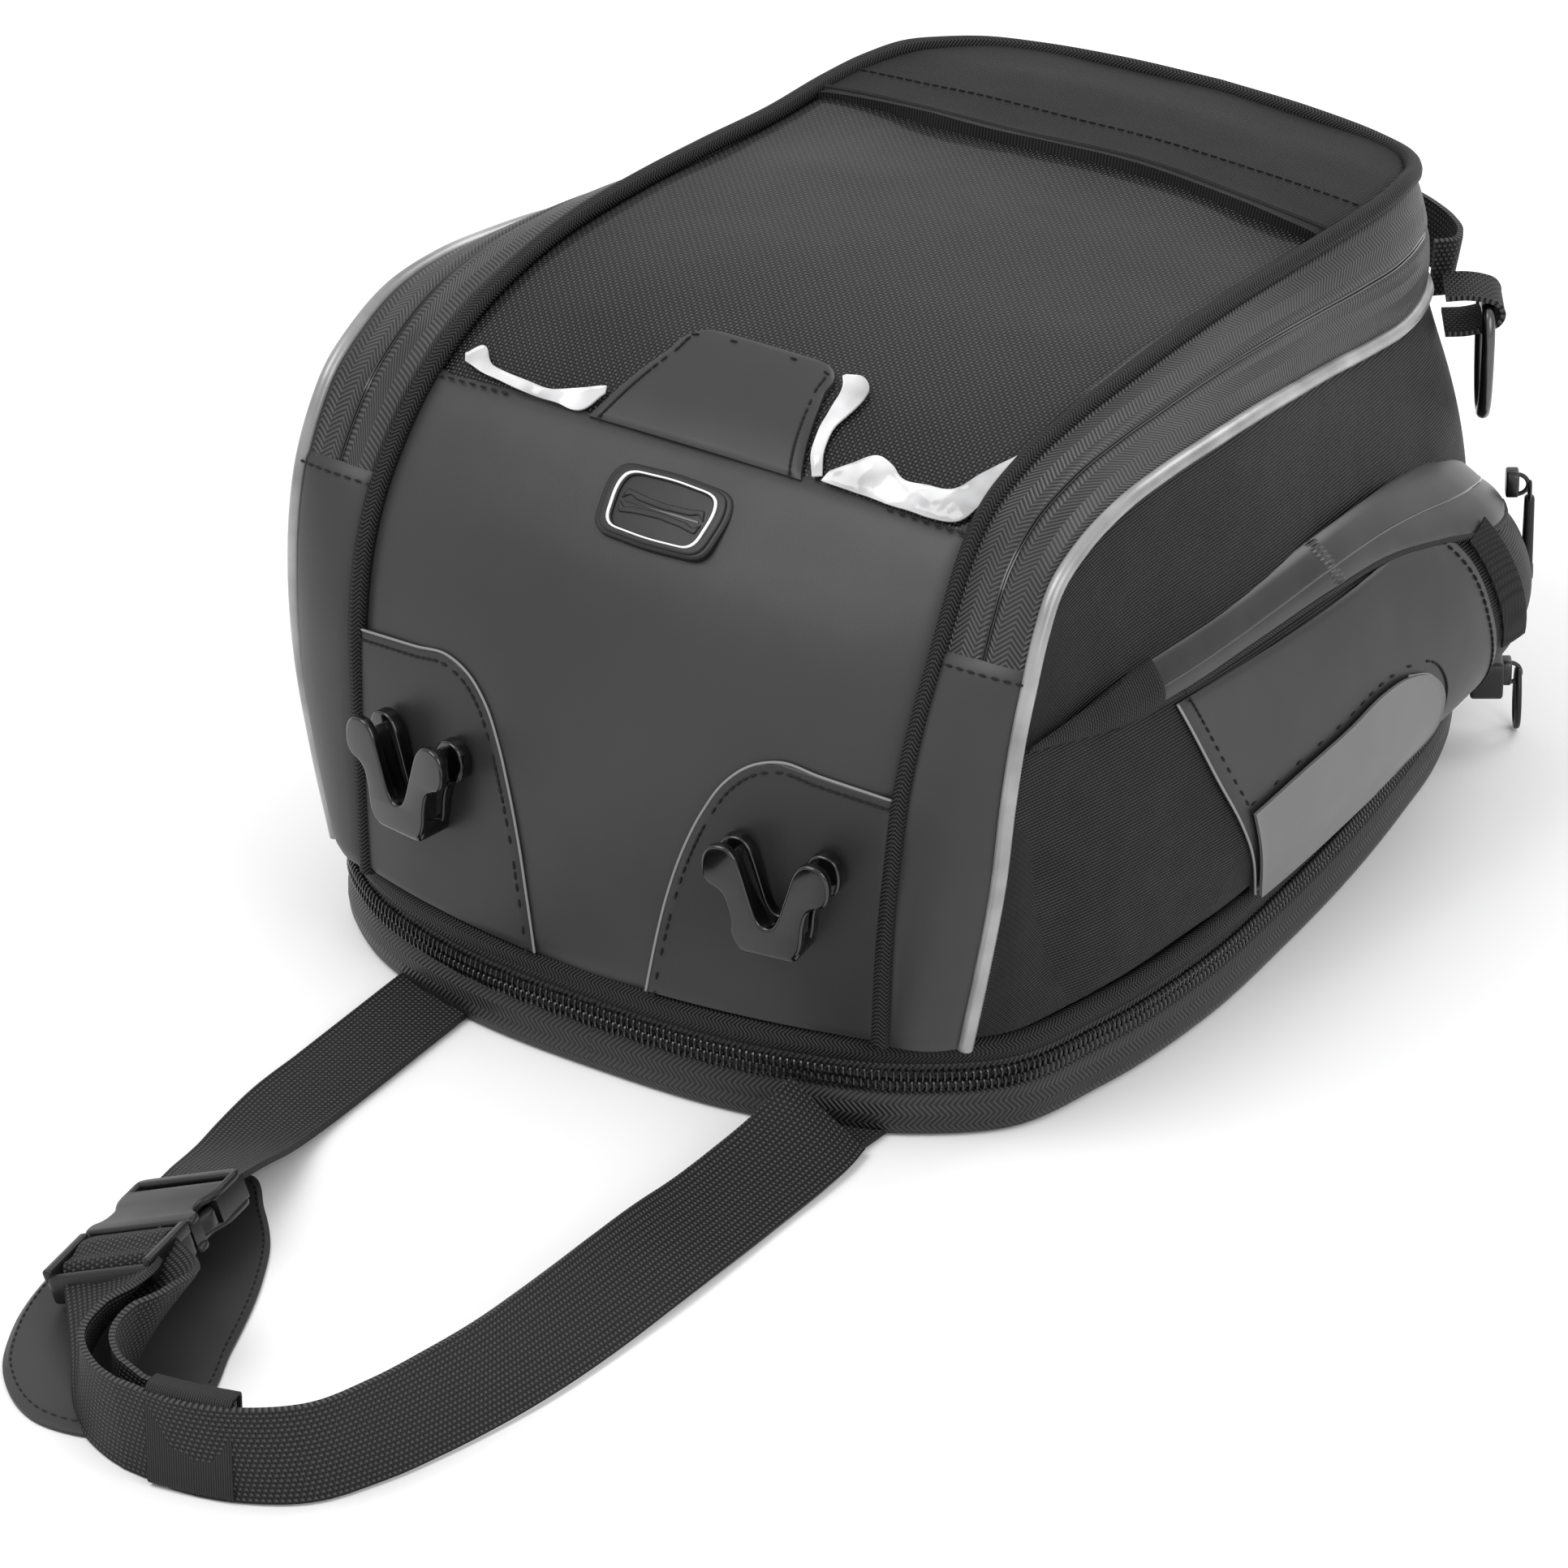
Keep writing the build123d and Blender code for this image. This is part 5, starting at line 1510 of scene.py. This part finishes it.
def make_buckle():
    """Side-release buckle: a shell with side windows on the left strap, a pronged plug on the right one."""
    axes = basis(BUCKLE_CENTRE, BUCKLE_ACROSS, BUCKLE_UP)
    shell_half = [(18.4, -3.6), (18.4, 1.6), (15.2, 3.4), (14.6, 9.2), (16.4, 12.4), (17.6, 16), (17.6, 27.5),
                  (15.5, 29)]
    bar_slot = scaled([(-15.2, 21.3), (15.2, 21.3), (15.2, 25.4), (-15.2, 25.4)])
    top = slab("buckle_top", [soften(scaled(both_sides(shell_half)), 0.0025, 4), bar_slot[::-1]], 0.0030,
               0.0056, axes,
               BUCKLE, 0.0011, 3)
    bottom = slab("buckle_bottom", [soften(scaled(both_sides(shell_half)), 0.0025, 4), bar_slot[::-1]],
                  -0.0056, -0.0030,
                  axes, BUCKLE, 0.0011, 3)
    walls = []
    for sign in (1, -1):
        for low, high in ((-3.4, 2.0), (12.4, 28.4)):
            wide = sorted((sign * 13.6, sign * 17.4))
            walls.append(slab("buckle_wall", [scaled([(wide[0], low), (wide[1], low), (wide[1], high),
                                                      (wide[0], high)])],
                              -0.0038, 0.0038, axes, BUCKLE, 0.0006))
    middle = slab("buckle_middle", [scaled([(-14, 15.5), (14, 15.5), (14, 20), (-14, 20)])], -0.0036, 0.0036,
                  axes, BUCKLE,
                  0.0003)
    place(joined("buckle_shell", [top, bottom, *walls, middle]), "bag", ["buckle_female"])

    frame_half = [(18.2, -28.4), (18.2, -4.4), (15, -4.2)]
    slots = [scaled([(-15.3, low), (15.3, low), (15.3, high), (-15.3, high)])[::-1]
             for low, high in ((-25.6, -22.0), (-14.8, -10.4))]
    plug = slab("buckle_frame", [soften(scaled(both_sides(frame_half)), 0.0028, 4), *slots], -0.0046, 0.0042,
                axes,
                BUCKLE, 0.0012, 3)
    rail = [slab("buckle_rail", [soften(scaled([(sign * 15.4, -28), (sign * 18.3, -28), (sign * 18.3, -4.6),
                                                 (sign * 15.4, -4.6)][::sign]), 0.001, 3)], 0.0020, 0.0062,
                                                 axes, BUCKLE,
                 0.0009) for sign in (1, -1)]
    prongs = []
    for x, reach in ((-14.2, 12.5), (0, 13.5), (14.2, 12.5)):
        side = 0 if x == 0 else math.copysign(1, x)
        outline = [(x - 2.2, -6), (x + 2.2, -6), (x + 2.0 + side * 0.6, 2), (x + 2.0 + max(side, 0) * 2.0, 6),
                   (x + 1.8 + max(side, 0) * 1.8, reach - 3), (x + 0.8, reach), (x - 0.8, reach),
                   (x - 1.8 + min(side, 0) * 1.8, reach - 3), (x - 2.0 + min(side, 0) * 2.0, 6),
                   (x - 2.0 + side * 0.6, 2)]
        prongs.append(slab("buckle_prong", [soften(scaled(outline), 0.0012, 3)], -0.0024, 0.0024, axes,
                           BUCKLE, 0.0006))
    place(joined("buckle_plug_body", [plug, *rail, *prongs]), "buckle_plug",
          ["buckle_male"])

    lap = []
    for y in np.linspace(-3.6, -24.5, 22):
        lap.append([BUCKLE_CENTRE + BUCKLE_ACROSS * x + BUCKLE_UP * h
                    + BUCKLE_UP.cross(BUCKLE_ACROSS) * y * MM
                    for x, h in ((k, 0.0050 + 0.0012 * math.sin((y + 3.6) * 0.22) ** 2)
                                 for k in np.linspace(-0.0146, 0.0146, 12))])
    lap = np.array([[tuple(p) for p in row] for row in lap])
    lap[-4:] -= np.array(BUCKLE_UP)[None, None] * (np.linspace(0.2, 1, 4)[:, None, None] ** 2) * 0.0045
    lap[:3] -= np.array(BUCKLE_UP)[None, None] * (np.linspace(1, 0.2, 3)[:, None, None] ** 2) * 0.0035
    place(sheet("buckle_lap_webbing", lap, 0.0016, WEBBING, outward=1, tuck=0.0003, tuck_width=0.001),
          "buckle_plug")


make_straps()
make_pad()
make_buckle()


# ---- zip sliders, pulls, rings and handle ----------------------------------------------------------
RING_OUT = (0.819, 0.574, 0)


def local(axes, points):
    """Local points in metres as points of the shared frame."""
    return np.array([tuple(axes @ Vector(p)) for p in points])


def zip_slider(name, axes, depth=0.0040):
    """A cast slider with a raised bridge that its pull hangs from."""
    plate = [(-2.2, -4.5), (2.2, -4.5), (3.4, -1.5), (3.6, 2.5), (2.4, 4.5), (-2.4, 4.5), (-3.6, 2.5),
             (-3.4, -1.5)]
    body = slab(name, [soften(scaled(plate), 0.0012, 3)], 0.0, depth, axes, SLIDER, 0.0007, 3)
    angles = np.linspace(0, math.pi, 15)
    bridge = tube(name + "_bridge", local(axes, [(0, -0.0006 - 0.0034 * math.cos(a), depth - 0.0006
                                                  + 0.0036 * math.sin(a)) for a in angles]), 0.0007, SLIDER,
                                                  sides=10)
    return joined(name, [body, bridge])


def rubber_pull(name, axes, length, low):
    """A long tapered moulded pull with a small inlay near its broad end, on a wire loop."""
    half = [(3.3, -length + 1.6), (4.1, -length + 7), (3.0, -length * 0.45), (1.9, -6.5), (1.5, -4.2)]
    outline = soften(scaled([(-1.6, -length), (1.6, -length), *half, *[(-x, y) for x, y in reversed(half)]]),
                     0.0022, 4)
    body = slab(name, [outline], low, low + 0.0032, axes, RUBBER, 0.0013, 4)
    neck = [(-1.3, -5.6), (-1.4, -2.6), (-0.9, -0.4), (0, 0.3), (0.9, -0.4), (1.4, -2.6), (1.3, -5.6)]
    wire = tube(name + "_wire", smooth(local(axes, [(x * MM, y * MM, low + 0.0016) for x, y in neck]), 40),
                0.00062,
                SLIDER, sides=8)
    dot = slab(name + "_inlay", [[(0.0015 * math.cos(a), (-length + 7.5) * MM + 0.0026 * math.sin(a))
                                  for a in np.linspace(0, 2 * math.pi, 24, endpoint=False)]], low + 0.0030,
               low + 0.0036, axes, RED_DOT, 0.0001, 1)
    return joined(name, [body, wire]), dot


def hang_pulls(kind, axes, length, low):
    """A pull and its inlay on each side, riding the body of the same kind and side."""
    pull, dot = rubber_pull(f"{kind}_body_right", axes, length, low)
    dot.name = dot.data.name = f"{kind}_inlay_right"
    both(pull, f"{kind}_body", f"{kind}_*", "pull_rubber", kind)
    both(dot, f"{kind}_inlay", f"{kind}_*", "pull_rubber")


def make_sliders():
    centre = [(a + b) / 2 for a, b in zip(*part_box("pocket_slider_right"))]
    out = Vector(RING_OUT)
    spot = Vector(centre) - out * 0.0031
    axes = facing(spot, out)
    both(zip_slider("pocket_slider_body_right", axes), "pocket_slider_body", "bag", "zip_metal",
         "pocket_slider")
    hang_pulls("pocket_pull", axes, 38, 0.0060)
    axes = facing((0.007, 0.1535, 0.1715), (0, 1, 0))
    both(zip_slider("main_slider_body_right", axes, 0.0046), "main_slider_body", "bag", "zip_metal",
         "main_slider")
    hang_pulls("main_pull", facing((0.007, 0.1584, 0.174), (0, 1, 0)), 26, -0.0006)


RING_TOP = (0.100, 0.1466, 0.150)


def make_rings():
    axes = facing(RING_TOP, RING_OUT)
    half = [(13, -1), (12.9, -12), (11.5, -22), (8.5, -30), (3.5, -35.4), (0, -36)]
    lower = smooth(local(axes, [(x * MM, y * MM, 0) for x, y in half + [(-x, y) for x,
                                                                        y in reversed(half[:-1])]]), 90)
    bar = local(axes, [(-0.013 + 0.026 * k / 10, 0, 0) for k in range(11)])
    ring = loop(np.concatenate([lower[::6], bar[1:-1:4]]), 120)
    cord = tube("d_ring_wire_right", ring, 0.0021, RING, sides=14, closed=True)
    both(cord, "d_ring_wire", "ring_*", "ring_metal", "d_ring")

    wrap = [(-13, 4.2), (-6, 4.6), (-1, 3.9), (2.6, 2.4), (3.7, 0), (2.6, -2.4), (-1, -3.9), (-6, -5.2),
            (-13, -5.6)]
    curve = smooth(mm([(a, b) for a, b in wrap]), 46)
    width = np.linspace(-0.0093, 0.0093, 10)
    grid = np.array([[tuple(axes @ Vector((w, up, out))) for w in width] for out, up in curve])
    both(sheet("ring_tab_webbing_right", grid, 0.0016, WEBBING, outward=-1, tuck=0.0002, tuck_width=0.001,
               edges="across"), "ring_tab_webbing", "bag", "webbing", "ring_tab")


HANDLE_HALF = [(80.5, 147.0), (84.5, 152.5), (82.5, 159), (76, 165.5), (66, 171), (52, 175.5), (35, 179),
               (18, 181.3)]


def make_handle():
    line = HANDLE_HALF + [(0, 182)] + [(-x, y) for x, y in reversed(HANDLE_HALF)]
    path = smooth(mm([(x, y, 157 + 1.5 * math.cos(x / 30)) for x, y in line]), 190)
    tangents = unit(np.gradient(path, axis=0))
    w = np.linspace(-0.010, 0.010, 12)
    lean = np.array((0, 0, 1.0)) + 0.16 * np.cross(tangents, (0, 0, 1.0))
    grid = path[:, None] + unit(lean)[:, None] * w[None, :, None]
    grid = ripple(grid, grid_normals(grid), 0.03, 0.0009, 3.0)
    place(sheet("carry_handle_webbing", grid, 0.0018, WEBBING, outward=1, tuck=0.0003, tuck_width=0.001,
                edges="across"), "bag", ["carry_handle"])
    grip = sheet("carry_handle_grip", grid[62:128] - grid_normals(grid)[62:128] * 0.0011, 0.0038,
                 PANEL_LEATHER,
                 outward=-1, tuck=0.0012, tuck_width=0.003)
    place(grip, "bag")


TAIL_SPOT = (0.103, 0.156, 0.0205)


def make_base_slider():
    axes = facing(TAIL_SPOT, RING_OUT)
    garage = [(-9, -6.5), (6, -6.5), (8, -4), (8, 4), (6, 6.5), (-9, 6.5)]
    cover = slab("base_zip_garage", [soften(scaled(garage), 0.003, 4)], -0.008, 0.0022, axes, PANEL_LEATHER,
                 0.0010, 3)
    place(cover, "bag")
    body = zip_slider("base_slider_body", facing(Vector(TAIL_SPOT) + Vector(RING_OUT) * 0.0016, RING_OUT),
                      0.0036)
    place(body, "bag", ["base_zip_slider"])
    oval = [(5.3 * math.sin(a) * (1 - 0.18 * math.cos(a)), -9.3 + 9.6 * math.cos(a), 7.4) for a in
            np.linspace(0, 2 * math.pi, 20, endpoint=False)]
    ring = tube("base_ring_wire", loop(local(axes, np.array(oval) * MM), 90), 0.00105, RUBBER, sides=12,
                closed=True)
    place(ring, "base_ring_pull", ["base_zip_ring"])


def make_side_label():
    """A blank woven label folded into the seam behind the pocket panel."""
    y, z = np.meshgrid(np.linspace(0.088, 0.101, 8), np.linspace(0.100, 0.064, 16))
    s, v = POCKET_SKIN.find(y + (0.100 - z) * 0.22, z)
    points, normals = POCKET_SKIN.at(s, v, 0.0016 + 0.0022 * np.linspace(0, 1, 8)[None] * np.ones((16, 1)))
    both(sheet("side_label_right", points, 0.0008, LABEL, outward=1, tuck=0.0001, tuck_width=0.001),
         "side_label",
         "bag", "nylon")


make_sliders()
make_rings()
make_handle()
make_base_slider()
make_side_label()


# ---- inside of the bag and of the lid -----------------------------------------------------------------
def make_inside():
    """Lining of the lid's underside and of the body, seen when the lid is open."""
    lid = cover(T_GARAGE + 0.02, 0.985, 90, 50, -0.96, 0.96)
    up = -grid_normals(lid)
    lid = lid - up * 0.0060
    lid = ripple(lid, up, 0.05, 0.0012, 13.0)
    place(sheet("lid_lining_cloth", lid, 0.0012, LINING, outward=-1, tuck=0.0004, tuck_width=0.002,
                inner=LINING), "lid")
    floor = base_path(0.009, 140, 0.0322)
    centre = floor.mean(axis=0)
    share = np.linspace(0.02, 1, 22)[:, None, None]
    rings = centre + (floor[None] - centre) * share
    grid = wrapped(rings)
    grid = ripple(grid, np.tile((0.0, 0.0, 1.0), (*grid.shape[:2], 1)), 0.06, 0.0006, 5.0)
    place(sheet("floor_lining_cloth", grid, 0.0008, LINING, outward=-1), "bag")


make_inside()

for node, cloth in {"base_plate": plastic("base_plate_plastic", 30, 0.5, grain=0.0001),
                    "tank_socket": plastic("socket_plastic", 24, 0.42, grain=0.00006),
                    "lock_latch": plastic("latch_plastic", 42, 0.38, grain=0.00006),
                    "socket_screws": metal("screw_steel", 150, 0.3),
                    "bag_floor": LINING_FLAT}.items():
    NODES[node].data.materials.clear()
    NODES[node].data.materials.append(cloth)


# ---- studio ------------------------------------------------------------------------------------
def make_studio():
    mesh = bpy.data.meshes.new("floor")
    reach = 6.0
    mesh.from_pydata([(-reach, -reach, 0), (reach, -reach, 0), (reach, reach, 0), (-reach, reach, 0)], [],
                     [(0, 1, 2, 3)])
    floor = bpy.data.objects.new("floor", mesh)
    bpy.context.scene.collection.objects.link(floor)
    paint = bpy.data.materials.new("floor_paint")
    paint.use_nodes = True
    shade = paint.node_tree.nodes["Principled BSDF"]
    shade.inputs["Base Color"].default_value = (0.86, 0.86, 0.86, 1)
    shade.inputs["Roughness"].default_value = 0.9
    mesh.materials.append(paint)
    world = bpy.data.worlds.new("studio")
    world.use_nodes = True
    world.node_tree.nodes["Background"].inputs["Color"].default_value = (1, 1, 1, 1)
    world.node_tree.nodes["Background"].inputs["Strength"].default_value = 0.9
    bpy.context.scene.world = world
    bpy.context.scene.view_settings.view_transform = "Standard"
    lights = (("key", (-0.6, -1.2, 2.0), 1.4, 26.0), ("fill", (1.8, -0.6, 1.2), 1.2, 14.0),
              ("rim", (0.2, 1.8, 1.6), 1.2, 16.0))
    for name, position, size, power in lights:
        data = bpy.data.lights.new(name, "AREA")
        data.size, data.energy = size, power
        lamp = bpy.data.objects.new(name, data)
        bpy.context.scene.collection.objects.link(lamp)
        lamp.location = position
        aim = Vector((0, -0.05, 0.08)) - Vector(position)
        lamp.rotation_mode = "QUATERNION"
        lamp.rotation_quaternion = aim.to_track_quat("-Z", "Y")


make_studio()
